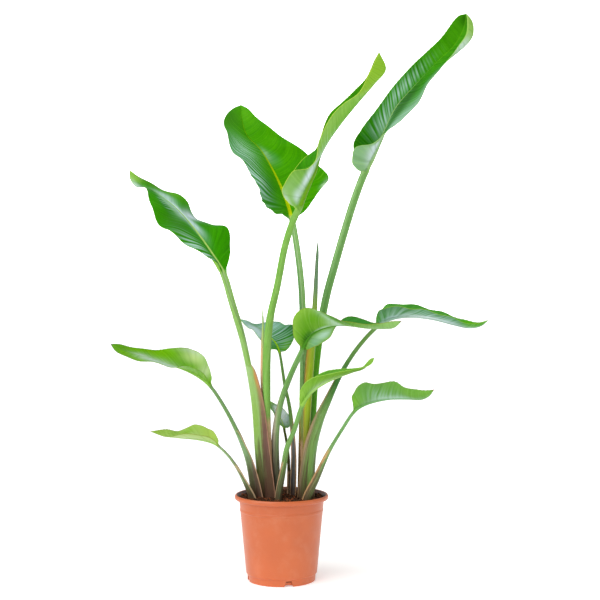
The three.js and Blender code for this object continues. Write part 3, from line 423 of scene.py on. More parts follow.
            ((60, 140, 16), 0.08, 0.8, 0.09, 0.5, 0.9), ((66, 130, 60), 0.3, 0.9, 0.12, 0.4, 0.7),
            ((176, 200, 206), 0.18, 0.2, 0.1, 0.16, 0.6), ((196, 214, 216), 0.45, 0.25, 0.14, 0.2, 0.7),
            ((190, 208, 214), 0.64, 0.3, 0.12, 0.4, 0.75), ((60, 128, 60), 0.6, 0.95, 0.2, 0.25, 0.6),
            ((196, 210, 216), 0.84, 0.0, 0.06, 0.3, 0.7), ((222, 232, 232), 0.5, 0.3, 0.1, 0.12, 0.9),
            ((224, 234, 236), 0.4, 0.04, 0.14, 0.1, 1.1),
        ],
        stalk_tints=[
            ((150, 124, 78), 396, 13, 20, 4, 1.4), ((164, 136, 112), 305, 20, 60, 8, 2.1),
            ((134, 110, 92), 225, 24, 50, 7, 2.0), ((86, 116, 70), 330, -10, 100, 4, 0.9),
            ((64, 118, 56), 412, -3, 46, 12, 1.4), ((158, 140, 116), 352, 17, 36, 5, 1.5),
        ],
        under_bloom=[(0.3, 0.4, 0.2, 0.5, 0.6), (0.56, 0.5, 0.16, 0.5, 0.5)],
    ),
    "leaf_cupped_centre": dict(
        upper=(58, 132, 50), deep_green=(46, 118, 40),
        under=(106, 158, 44), under_deep=(96, 150, 38), under_tip=(136, 182, 98), keel=(64, 124, 30),
        keel_amount=0.9,
        margin=(132, 134, 50), dry=(110, 70, 50), dry_from=0.975,
        stalk=(110, 156, 84), stalk_dark=(92, 140, 70), stalk_light_and_highlight=(136, 174, 116), base=(96, 104, 78),
        base_top=310, base_low=215,
        hem=(150, 124, 104), hem_width=0.8, stain_and_shade=(88, 78, 66),
        gloss=0.12,
        under_tints=[
            # The pale bluish tints are partly pale wax and partly a painted sheen.
            ((54, 116, 10), 0.11, 0.2, 0.08, 0.26, 1.2), ((84, 146, 16), 0.17, 0.42, 0.07, 0.12, 0.75),
            ((88, 150, 24), 0.29, 0.55, 0.06, 0.16, 0.7), ((142, 186, 72), 0.22, 0.98, 0.2, 0.2, 0.55),
            ((160, 194, 150), 0.38, 0.14, 0.05, 0.16, 0.7),
            ((176, 206, 180), 0.28, 0.06, 0.08, 0.035, 0.8),
            ((100, 150, 110), 0.13, -0.7, 0.06, 0.5, 0.9), ((158, 190, 172), 0.24, -0.5, 0.08, 0.32, 0.9),
            ((84, 146, 40), 0.17, -0.12, 0.06, 0.06, 0.6), ((186, 212, 196), 0.43, 0.0, 0.05, 0.9, 0.8),
            ((60, 128, 60), 0.55, 0.8, 0.1, 0.3, 0.7), ((140, 186, 90), 0.6, 0.1, 0.14, 0.4, 0.5),
            ((142, 184, 120), 0.8, 0.3, 0.1, 0.6, 0.7),
        ],
        stalk_tints=[
            ((178, 168, 150), 298, 9, 58, 6, 2.0), ((112, 96, 82), 210, -14, 40, 5, 1.6),
            ((138, 124, 108), 235, 10, 50, 6, 1.6),
        ],
    ),
    "leaf_unfurling_front": dict(
        upper=(70, 150, 0), deep_green=(72, 152, 0), tip=(126, 170, 66), tip_from=0.78,
        under=(112, 162, 48), under_deep=(102, 154, 38), under_tip=(128, 168, 72),
        margin=(150, 196, 80),
        stalk=(122, 166, 94), stalk_dark=(106, 152, 78), stalk_light_and_highlight=(132, 166, 108), base=(108, 132, 90),
        base_top=230,
        upper_tints=[((150, 192, 110), 0.5, -0.4, 0.2, 0.5, 0.6)],
        under_tints=[
            ((176, 206, 160), 0.3, 0.0, 0.12, 0.3, 0.8), ((150, 196, 84), 0.12, 0.8, 0.14, 0.3, 0.5),
            ((186, 208, 190), 0.28, -0.8, 0.16, 0.3, 0.8), ((170, 202, 144), 0.45, 0.0, 0.2, 0.4, 0.7),
        ],
    ),
    "leaf_low_right": dict(
        upper=(100, 168, 56), deep_green=(90, 158, 46),
        under=(96, 148, 64), under_deep=(86, 138, 58), under_vein=(150, 192, 130),
        under_tip=(106, 160, 60), keel=(100, 156, 80),
        margin=(120, 150, 70), dry=(150, 84, 66), dry_from=0.97,
        stalk=(118, 164, 100), stalk_dark=(100, 148, 82), stalk_light_and_highlight=(146, 180, 134),
        base=(100, 132, 78), base_top=230,
        hem=(200, 156, 110), hem_width=2.2,
        streaky=1.5, soft=1.4,
        under_tints=[
            ((110, 170, 48), 0.12, 0.8, 0.12, 0.5, 0.8), ((164, 198, 176), 0.5, 0.1, 0.26, 0.22, 0.9),
            ((108, 164, 56), 0.75, 0.7, 0.14, 0.5, 0.7),
        ],
        stalk_tints=[((164, 138, 106), 215, 9, 40, 4, 1.8)],
        under_bloom=[(0.42, 0.4, 0.16, 0.3, 0.5)],
    ),
    "leaf_back_left": dict(
        upper=(34, 122, 28), deep_green=(22, 100, 20), vein=(120, 176, 140), pale_wax_and_sheen=(160, 194, 190),
        under=(60, 110, 40),
        rib=(150, 198, 6), rib_tip=(120, 168, 80), rib_wide=1.0,
        stalk=(106, 150, 74), stalk_dark=(88, 130, 62), stalk_light_and_highlight=(120, 154, 96), base=(104, 108, 110),
        base_low=280,
        hem=(190, 150, 110), stain_and_shade=(84, 80, 82),
        upper_tints=[
            ((70, 142, 10), 0.06, 0.4, 0.08, 0.5, 0.8), ((150, 186, 186), 0.5, 0.5, 0.12, 0.5, 0.7),
            ((180, 200, 202), 0.55, -0.6, 0.26, 0.55, 1.1), ((156, 186, 190), 0.85, 0.0, 0.12, 0.8, 0.8),
            ((60, 134, 10), 0.1, -0.4, 0.08, 0.5, 0.7), ((100, 168, 40), 0.1, 0.75, 0.1, 0.3, 0.8),
        ],
        stalk_tints=[((170, 130, 92), 235, 8, 80, 3.4, 2.4), ((172, 112, 62), 306, 7, 18, 4, 1.6)],
        upper_bloom=[(0.3, 0.4, 0.26, 0.6, 0.75), (0.5, -0.5, 0.2, 0.5, 0.6)],
    ),
    "leaf_small_back": dict(
        upper=(92, 150, 76), deep_green=(78, 136, 70), pale_wax_and_sheen=(176, 206, 214),
        stalk=(84, 98, 36), stalk_dark=(66, 80, 24), stalk_light_and_highlight=(110, 120, 50), base=(64, 64, 24),
        upper_tints=[
            ((184, 208, 220), 0.36, 0.35, 0.22, 0.5, 0.95), ((120, 160, 86), 0.3, -0.7, 0.3, 0.4, 0.8),
            ((124, 166, 60), 0.95, 0.0, 0.16, 1.0, 0.95), ((100, 150, 60), 0.03, 0.4, 0.07, 0.8, 0.9),
            # These two near-white tints are painted light, brighter than the leaf, lifting it out of the
            # shade it lies in.
            ((226, 236, 242), 0.4, 0.1, 0.2, 0.6, 1.3), ((232, 240, 246), 0.52, 0.3, 0.18, 0.6, 1.4),
        ],
        under_tints=[
            ((150, 188, 116), 0.36, 0.35, 0.24, 0.6, 0.8), ((130, 176, 80), 0.3, -0.7, 0.3, 0.4, 0.9),
            ((130, 176, 60), 0.92, 0.0, 0.18, 1.0, 0.95),
        ],
        upper_bloom=[(0.4, 0.4, 0.3, 0.7, 0.5)],
    ),
}
SPEAR_LOOKS = {
    "spear_right_clump": dict(
        green=(122, 162, 26), light=(152, 182, 34), top=(92, 126, 88), top_from=520, low=(148, 180, 20),
        low_top=520, low_from=430, tan=(164, 128, 38), tan_wide=0.36, tan_top=530, seam=(96, 90, 30),
        brown=(126, 118, 40), brown_top=375, earth=(100, 76, 48),
    ),
    "spear_left_clump": dict(
        green=(150, 186, 96), light=(176, 204, 124), top=(140, 178, 112), top_from=500,
        low=(214, 174, 128), low_top=500, low_from=450, tan=(216, 160, 124), tan_wide=0.2, tan_top=520,
        seam=(130, 104, 70), brown=(122, 92, 80), brown_top=340, earth=(90, 62, 46),
    ),
}
POT_LOOK = dict(
    # The darkest colour is painted shade for the pot's inner wall.
    clay=(190, 92, 44), light=(200, 100, 50), speck=(186, 92, 54), dust=(216, 160, 128), inner_wall_shade=(58, 36, 34),
)
SOIL_LOOK = dict(dark=(38, 24, 16), brown=(84, 56, 38), crumb=(112, 74, 50), fibre=(134, 74, 44))
CROWN_LOOK = dict(flesh=(150, 120, 84), pale=(190, 164, 124), scar=(104, 76, 52))

# Steps of noise that shades share, how far apart thin veins are, and how deep the reliefs are:
# distance in metres and strength.
NARROW = (0.35, 0.65)
BROAD = (0.3, 0.7)
VEIN_GAP = 4.6
STAIN_AND_SHADE_SPREAD = 20
RELIEF = {
    "leaf": (0.0004, 0.6), "spear": (0.0004, 0.5), "pot": (0.0001, 0.4), "soil": (0.0012, 0.8),
    "crown": (0.001, 0.6),
}
GLOSS_TINT = (0.5, 1.0, 0.12, 1.0)
WHITE = (1, 1, 1, 1)
WORLD_LIGHT = 0.5
SURROUND = {"radius": 39.0, "glow": 1.0}
FLOOR = {"radius": 40.0, "sides": 96, "drop": 0.0002, "grey": (0.93, 0.95), "glow": 0.34}
# Each lamp: azimuth and elevation that it shines from, strength, and how soft it is.
LAMPS = {"key": (-48, 42, 2.2, 70), "fill": (50, 20, 0.5, 90)}

# A rolled leaf's edge: its step to the radius, and its turns up the spear.
ROLL = {"overlap": 0.17, "twist": 0.35, "start": -0.3}
SPEAR_SIDES = 56
SPEAR_STEP = 4.0

POT = {
    "height": 174, "lip_radius": 95.5, "lip_height": 9.5, "top_radius": 86.6, "low_radius": 72.5,
    "wall": 1.8, "foot_radius": 69, "foot_height": 15, "floor_under": 6, "floor_top": 8.5,
    "centre_foot": 26, "ridge_at": 143, "ridge": 0.8, "sides": 192,
}
LIP_LOW = POT["height"] - POT["lip_height"]
# Heights in metres above which the painted shade on the pot's inner wall fades in.
INNER_SHADE_FROM = (0.155, 0.157)
NOTCH = {"count": 4, "first": 13, "low": 18.5, "top": 11.5, "height": 11}
DRAIN = {"from": 40, "to": 56, "width": 7}
CORNER_STEPS = 6

SOIL = {"relief": 2.4, "rings": 70, "sides": 220, "seed": 7}
CRUMBS = {"count": 1100, "within": 0.96, "size": (0.8, 2.6), "fibrous": 0.16}
FIBRES = {"count": 230, "within": 0.9, "length": (6, 16), "thick": (0.25, 0.5), "steps": 6, "sides": 4}


def unit(v):
    return v / np.maximum(np.linalg.norm(v, axis=-1, keepdims=True), 1e-9)


def lerp(low, high, share):
    return low + (high - low) * share


def smooth(low, high, x):
    t = np.clip((x - low) / (high - low), 0, 1)
    return t * t * (3 - 2 * t)


def each(x):
    """Gives an array a last axis, so that it scales places."""
    return np.asarray(x)[..., None]


def around(sides):
    """Even angles round a circle."""
    return 2 * math.pi * np.arange(sides) / sides


class Line:
    """A smooth line through places, read by its share of the length."""

    STEPS = 40

    def __init__(self, places):
        p = np.asarray(places, float)
        p = np.vstack([2 * p[0] - p[1], p, 2 * p[-1] - p[-2]])
        t = each(np.linspace(0, 1, self.STEPS, endpoint=False))
        parts = []
        for p0, p1, p2, p3 in zip(p, p[1:], p[2:], p[3:]):
            d0, d1, d2 = (
                max(np.linalg.norm(b - a) ** 0.5, 1e-4)
                for a, b in ((p0, p1), (p1, p2), (p2, p3))
            )
            start = ((p1 - p0) / d0 - (p2 - p0) / (d0 + d1) + (p2 - p1) / d1) * d1
            end = ((p2 - p1) / d1 - (p3 - p1) / (d1 + d2) + (p3 - p2) / d2) * d1
            bow = (3 * (p2 - p1) - 2 * start - end) * t**2
            parts.append(p1 + start * t + bow + (2 * (p1 - p2) + start + end) * t**3)
        self.places = np.vstack([*parts, p[-2][None]])
        steps = np.linalg.norm(np.diff(self.places, axis=0), axis=1)
        self.lengths = np.concatenate([[0], np.cumsum(steps)])
        self.length = self.lengths[-1]

    def share_of(self, n):
        """The share at which the line passes its nth place."""
        return self.lengths[n * self.STEPS] / self.length

    def at(self, share):
        reach = np.clip(share, 0, 1) * self.length
        return np.stack([np.interp(reach, self.lengths, self.places[:, k]) for k in range(3)], -1)

    def along(self, share, step=1.0):
        d = step / self.length
        return unit(self.at(np.minimum(share + d, 1)) - self.at(np.maximum(share - d, 0)))


def square(direction, along):
    """The part of a direction that is square to a line."""
    direction = np.asarray(direction, float)
    return unit(direction - each((direction * along).sum(-1)) * along)


def on_arc(place, up, right, half, angle, share):
    """A place on the arc of a stalk's channel, at a share from the rib to an edge."""
    radius = half / angle
    across = right * each(radius * np.sin(angle * share))
    return place + across + up * each(radius * (1 - np.cos(angle * share)))


def column_shares(core, half, columns):
    """Shares from the rib to an edge: rounded over the rib, then even across the blade."""
    f = np.abs(columns)
    round_ = np.minimum(core / half, 1)
    rib_edge = np.minimum(core / half, 0.9)
    over_rib = f / RIB_COLUMNS * rib_edge
    beyond = rib_edge + (f - RIB_COLUMNS) / (1 - RIB_COLUMNS) * (1 - rib_edge)
    flat = np.where(f < RIB_COLUMNS, over_rib, beyond)
    weight = np.where(half > core * 1.001, round_**1.5, 1)
    return weight * np.sin(math.pi / 2 * f) + (1 - weight) * flat


def surface_normals(places):
    """Each place's direction out of the upper face."""
    return unit(np.cross(np.gradient(places, axis=1), np.gradient(places, axis=0)))


def blade_edges(leaf, line, joint, curl):
    """The blade's two edges, from the stalk's end to the tip, and the way up at the joint."""
    place, along = line.at(joint), line.along(joint)
    up = square(leaf["faces"], along)
    right = np.cross(along, up)
    edges = []
    for key, k in (("left", -1), ("right", 1)):
        flank = on_arc(place, up, right, leaf["radius"][1], curl, k)
        tip = np.array(leaf["rib"][-1], float)
        edges.append(Line(np.vstack([flank, leaf[key], lerp(tip, flank - place + tip, EDGE_END)])))
    return edges, up


def stalk_rows(leaf, line, joint, joint_up, curl, f):
    """The stalk: an arc that curls round its channel, wider where its sheath clasps."""
    side = np.sign(f)
    length = joint * line.length
    count = int(length / STALK_STEP)
    up = np.arange(count) / count
    place, along = line.at(joint * up), line.along(joint * up)
    turn = smooth(leaf.get("turn_from", 0), 1, up)
    facing = square(lerp(np.array(leaf["clasps"], float), joint_up, each(turn)), along)
    right = np.cross(along, facing)
    low_radius, top_radius = leaf["radius"]
    core = lerp(top_radius, low_radius, (1 - up) ** STALK_TAPER)
    height, left_width, right_width, wrap, taper = leaf["sheath"]
    wing = np.clip(1 - (place[:, 2] - SOIL_TOP) / height, 0, 1) ** taper
    angle = lerp(curl, math.radians(wrap), wing)
    place = place + facing * each(0.5 * core * (1 - up**6))
    width = np.where(side < 0, left_width, right_width)
    half = core[:, None] + (width - low_radius) * wing[:, None]
    share = column_shares(core[:, None], half, f)
    signed = share * side
    places = on_arc(place[:, None], facing[:, None], right[:, None], half, angle[:, None], signed)
    rows = {"out": up - 1, "core": core, "wing": wing, "vein": (up - 1) * length}
    rows = {key: np.broadcast_to(values[:, None], half.shape) for key, values in rows.items()}
    return rows | {"places": places, "reach": share * half, "half": half, "share": signed}


def blade_rows(leaf, line, joint, edges, f, step):
    """The blade: each row starts on the rib and sweeps out along a side vein."""
    side = np.sign(f)
    length = (1 - joint) * line.length
    top_radius = leaf["radius"][1]
    count = int(length / step)
    thins = leaf.get("thins", RIB["taper"])
    even = np.arange(count) / (count - 1)
    even = lerp(even, even**1.5, 0.25)[:, None]
    middle = line.at(lerp(joint, 1, even[:, 0]))
    wide = [np.linalg.norm(edge.at(even[:, 0]) - middle, axis=1)[:, None] for edge in edges]
    core = lerp(RIB["tip"], top_radius, (1 - even) ** thins)
    share = column_shares(core, np.where(side < 0, *wide), f)
    sweep = np.where(side < 0, *leaf.get("sweep", SWEEP["reach"]))
    sweep = sweep * share ** leaf.get("bend", SWEEP["bend"])
    out = even + (1 - even) * sweep * smooth(*SWEEP["from"], even)
    place, along = line.at(lerp(joint, 1, out)), line.along(lerp(joint, 1, out))
    left, right = edges[0].at(out), edges[1].at(out)
    facing = unit(np.cross(right - left, along))
    core = lerp(RIB["tip"], top_radius, (1 - out) ** thins)
    end = np.where(each(side < 0), left, right)
    half = np.linalg.norm(end - place, axis=-1)
    belly = np.where(side < 0, *leaf["belly"])
    bend = lerp(place, end, 0.5) + facing * each(belly * half)
    if "curl_reach" in leaf:
        rise = smooth(leaf["curl_from"], CURL_END["full"], out) * (1 - out ** CURL_END["fade"])
        bend = bend + np.array(leaf["curl_reach"], float) * each(rise * (side == 1))
    share = column_shares(core, half, f)
    x = each(share)
    return {
        "places": (1 - x) ** 2 * place + 2 * x * (1 - x) * bend + x**2 * end,
        "reach": share * half,
        "half": half,
        "core": core,
        "out": out,
        "vein": np.broadcast_to(even * length, half.shape),
        "wing": np.zeros_like(half),
        "share": share * side,
    }


def leaf_surface(leaf, columns, step):
    """The rows of a leaf, from the stalk's foot to the tip, and what lies where on them."""
    line = Line(leaf["stalk"] + leaf["rib"])
    joint = line.share_of(len(leaf["stalk"]))
    curl = math.radians(STALK_CURL)
    f = np.arange(-columns, columns + 1) / columns
    edges, joint_up = blade_edges(leaf, line, joint, curl)
    low = stalk_rows(leaf, line, joint, joint_up, curl, f)
    high = blade_rows(leaf, line, joint, edges, f, step)
    rows = {key: np.concatenate([low[key], high[key]]) for key in high}
    rows["f"] = np.broadcast_to(f, rows["half"].shape)
    rows["blade"] = (rows["out"] >= 0).astype(float)
    return rows


def wave_surface(rows, leaf):
    """Waves a blade's edges, pleats it along its veins and wears its margins."""
    out, f, side, on_blade = rows["out"], rows["f"], np.sign(rows["f"]), rows["blade"]
    depth, count, start = leaf["wave"]
    swell = np.minimum(WAVE["ends"] * out * (1 - out), 1) * depth * on_blade
    turn = count * out + start + WAVE["between"] * side
    lift = swell * np.abs(f) ** WAVE["across"] * np.sin(2 * math.pi * turn)
    places = rows["places"] + surface_normals(rows["places"]) * each(lift)

    pleat = leaf.get("pleat", 1)
    vein = (rows["vein"] + PLEAT_DRIFT["sides"] * side) / pleat
    fold = 0
    for k, (length, share) in enumerate(zip(PLEAT["lengths"], PLEAT["shares"])):
        wander = PLEAT_DRIFT["wander"] * np.sin(vein / PLEAT_DRIFT["length"] + k)
        turn = 2 * math.pi * (vein / length + PLEAT_DRIFT["each"] * k)
        fold = fold + share * np.sin(turn + wander)
    inside = smooth(1.0, 1.9, rows["reach"] / rows["core"]) * smooth(0, 0.06, out)
    inside = inside * (1 - 0.45 * np.abs(f)) * smooth(0, 0.04, 1 - out)
    rows["pleat"] = fold * on_blade
    flat_width = np.clip(rows["half"] / PLEAT["flat_below"], 0, 1)
    lift = PLEAT["lift"] * pleat * fold * inside * flat_width * on_blade
    places = places + surface_normals(places) * each(lift)

    across = unit(np.gradient(places, axis=1)) * each(side)
    nick = np.sin(vein / EDGE_WEAR["length"] * 2 * math.pi)
    nick = nick * np.sin(vein / EDGE_WEAR["beat"] + side)
    frill = np.sin(out * FRILL["count"] + FRILL["wander"] * np.sin(out * FRILL["length"]))
    nick = nick + leaf.get("frill", 0) * (frill * smooth(*FRILL["from"], out) * (side < 0))
    at_edge = smooth(0.9, 1.0, np.abs(f)) * on_blade * smooth(0, 0.05, 1 - out)
    rows["places"] = places - across * each(EDGE_WEAR["depth"] * (nick + 0.5) * at_edge)


def leaf_faces(rows):
    """The upper and the lower face of a leaf: thick over the rib, thin at the edges."""
    normals = surface_normals(rows["places"])
    core = rows["core"]
    rel = rows["reach"] / core
    round_ = np.sqrt(np.maximum(1 - rel**2, 0))
    edge = np.where(rows["blade"] > 0, THICK["blade"], THICK["sheath"])
    thick = edge + np.maximum(STALK_DEPTH * core - edge, 0) * round_
    over = np.minimum(0.5 * thick, 0.5 * THICK["face"] + 0.12 * thick)
    channel = CHANNEL["depth"] * core * np.exp(-((rel / CHANNEL["width"]) ** 2))
    upper = rows["places"] + normals * each(over - channel * smooth(0, 0.05, rows["out"]))
    lower = rows["places"] + normals * each(over - thick)
    upper[0, :, 2] = FOOT
    lower[0, :, 2] = FOOT
    return upper, lower


def placed(name, data):
    """A new object in the scene."""
    made = bpy.data.objects.new(name, data)
    bpy.context.scene.collection.objects.link(made)
    return made


def mesh_piece(name, places, faces, slot, points=None):
    """A smooth piece in place of a node, from millimetres, with its facts for each point."""
    mesh = bpy.data.meshes.new(name + "_fine")
    mesh.from_pydata((places * MM).tolist(), [], faces)
    for key, values in (points or {}).items():
        kind, field = ("FLOAT", "value") if values.ndim == 1 else ("FLOAT_COLOR", "color")
        attribute = mesh.attributes.new(key, kind, "POINT")
        attribute.data.foreach_set(field, np.ravel(values).astype(np.float32))
    mesh.shade_smooth()
    piece = placed(name + "_fine", mesh)
    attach(piece, "root")
    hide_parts(name)
    return piece


def dress(piece, material, sharp):
    """Gives a piece its finish, and sharp edges where it turns by more than some degrees."""
    piece.data.set_sharp_from_angle(angle=math.radians(sharp))
    piece.data.materials.append(material)


def grid(count, sides):
    """The number of each place in rows of rings."""
    return np.arange(count * sides).reshape(count, sides)


def skin(index):
    """The faces between rings of places, from the number of each place."""
    after = np.roll(index, -1, axis=1)
    return np.stack([index[:-1], after[:-1], after[1:], index[1:]], -1).reshape(-1, 4)


def closed_sheet(upper, lower):
    """Places and faces of a closed body between two faces of rows."""
    rows, columns = upper.shape[:2]
    size = 2 * columns
    index = grid(rows, size)
    j = np.arange(columns - 1)
    cap = np.stack([j, j + 1, size - 2 - j, size - 1 - j], -1)
    faces = np.concatenate([skin(index), index[0][cap][:, ::-1], index[-1][cap]])
    return ring_of(upper, lower), faces.tolist()


def ring_of(upper, lower):
    """Values of the rows of both faces, in the order of the ring of places."""
    values = np.concatenate([upper, lower[:, ::-1]], axis=1)
    return values.reshape(-1, *values.shape[2:])


def patch(rows, on_stalk, along, across, length, width):
    """A soft oval patch: on a blade in shares out along it and across it, or on a stalk in
    millimetres, by its height and how far it is from the middle line."""
    far_along = (rows["places"][..., 2] if on_stalk else rows["out"]) - along
    far_across = (rows["reach"] * np.sign(rows["f"]) if on_stalk else rows["share"]) - across
    here = rows["blade"] != on_stalk
    return np.exp(-((far_along / length) ** 2) - (far_across / width) ** 2) * here


def painted(rows, look, face):
    """The tints of one face of a leaf, as a colour and how much of it shows, and its pale wax with a
    painted sheen.
    """
    tint = np.zeros(rows["out"].shape + (4,))
    for on_stalk, key in ((False, face + "_tints"), (True, "stalk_tints")):
        for shade, *place, amount in look.get(key, ()):
            cover = np.minimum(patch(rows, on_stalk, *place) * amount, 1)
            total = cover + tint[..., 3] * (1 - cover)
            weight = each(cover / np.maximum(total, 1e-6))
            tint[..., :3] = lerp(tint[..., :3], np.array(colour(*shade)[:3]), weight)
            tint[..., 3] = total
    bloom = np.zeros(rows["out"].shape)
    for *place, amount in look.get(face + "_bloom", ()):
        bloom = bloom + patch(rows, False, *place) * amount
    return tint, bloom


def make_leaf(name, leaf):
    look = GROWN | LOOKS[name]
    size = "small" if name in SMALL_LEAVES else "large"
    rows = leaf_surface(leaf, COLUMNS[size], BLADE_STEP[size])
    wave_surface(rows, leaf)
    upper, lower = leaf_faces(rows)
    facts = {key: ring_of(rows[key], rows[key]) for key in LEAF_FACTS}
    to_edge = np.maximum(rows["half"] - rows["reach"], 0)
    facts["to_edge"] = ring_of(to_edge, to_edge)
    facts["upper"] = ring_of(np.ones(upper.shape[:2]), np.zeros(upper.shape[:2]))
    tint, bloom = painted(rows, look, "upper")
    under_tint, under_bloom = painted(rows, look, "under")
    facts["bloom"] = ring_of(bloom, under_bloom)
    facts["tint"] = ring_of(tint, under_tint)
    slot = "young_leaf" if name in YOUNG_LEAVES else "leaf"
    piece = mesh_piece(name, *closed_sheet(upper, lower), slot, facts)
    dress(piece, leaf_material(name, look), SHARP["leaf"])


def colour(red, green, blue):
    """A colour as it shows on a screen, 0 to 255, turned to linear light."""
    shown = [c / 255 for c in (red, green, blue)]
    return tuple(c / 12.92 if c <= 0.04 else ((c + 0.055) / 1.055) ** 2.4 for c in shown) + (1.0,)


def shades(look):
    """The colours of a look, in linear light."""
    return {key: colour(*value) for key, value in look.items() if isinstance(value, tuple)}


class Value:
    """What a node gives out. Plain signs make the nodes that add it, scale it and so on."""

    def __init__(self, finish, socket):
        self.finish = finish
        self.socket = socket

    def __add__(self, other):
        return self.finish.sum("ADD", self, other)

    def __sub__(self, other):
        return self.finish.sum("SUBTRACT", self, other)

    def __rsub__(self, other):
        return self.finish.sum("SUBTRACT", other, self)

    def __mul__(self, other):
        return self.finish.sum("MULTIPLY", self, other)

    def __truediv__(self, other):
        return self.finish.sum("DIVIDE", self, other)

    def __abs__(self):
        return self.finish.sum("ABSOLUTE", self)


class Finish:
    """One procedural material, whose nodes are made by plain calls."""

    def __init__(self, name, roughness=0.5, specular=0.3):
        self.material = bpy.data.materials.new(name)
        self.material.use_nodes = True
        self.nodes = self.material.node_tree.nodes
        self.links = self.material.node_tree.links
        self.shader = self.nodes["Principled BSDF"].inputs
        self.shader["Roughness"].default_value = roughness
        self.shader["Specular IOR Level"].default_value = specular

    def put(self, socket, value):
        if isinstance(value, Value):
            self.links.new(value.socket, socket)
        else:
            socket.default_value = value

    def made(self, kind, *values, **settings):
        """A new node, whose first sockets take the values."""
        node = self.nodes.new("ShaderNode" + kind)
        for key, value in settings.items():
            setattr(node, key, value)
        for socket, value in zip(node.inputs, values):
            self.put(socket, value)
        return node

    def sum(self, operation, a, b=0.0, clamp=False):
        made = self.made("Math", a, b, 0.0, operation=operation, use_clamp=clamp)
        return Value(self, made.outputs[0])

    def share(self, a, b):
        """A product held between 0 and 1."""
        return self.sum("MULTIPLY", a, b, clamp=True)

    def fact(self, key, output="Fac"):
        return Value(self, self.made("Attribute", attribute_name=key).outputs[output])

    def place(self):
        return Value(self, self.made("TexCoord").outputs["Object"])

    def axes(self):
        split = self.made("SeparateXYZ", self.place())
        return [Value(self, output) for output in split.outputs]

    def noise(self, scale, detail=2.0, rough=0.5, place=None):
        made = self.made("TexNoise")
        given = {"Vector": place or self.place(), "Scale": scale, "Detail": detail, "Roughness": rough}
        for key, value in given.items():
            self.put(made.inputs[key], value)
        return Value(self, made.outputs["Fac"])

    def streaks(self, across, fineness, along, length, seed=0.0):
        """Long uneven streaks: noise that is finer one way than the other."""
        place = self.made("CombineXYZ", across * fineness, along * length, seed).outputs[0]
        return self.noise(1.0, 3.0, 0.6, Value(self, place))

    def rise(self, low, high, value, from_=0.0, to=1.0):
        """A smooth step from one value to another."""
        made = self.made("MapRange", value, low, high, from_, to, interpolation_type="SMOOTHSTEP")
        return Value(self, made.outputs[0])

    def mix(self, amount, a, b):
        made = self.made("Mix", data_type="RGBA")
        for key, value in (("Factor", amount), (6, a), (7, b)):
            self.put(made.inputs[key], value)
        return Value(self, made.outputs[2])

    def bump(self, height, relief):
        made = self.made("Bump")
        given = {"Height": height, "Distance": relief[0], "Strength": relief[1]}
        for key, value in given.items():
            self.put(made.inputs[key], value)
        self.links.new(made.outputs[0], self.shader["Normal"])

    def rough(self, value):
        self.put(self.shader["Roughness"], value)

    def glow(self, strength):
        self.shader["Emission Color"].default_value = WHITE
        self.shader["Emission Strength"].default_value = strength

    def paint(self, value):
        self.put(self.shader["Base Color"], value)
        return self.material


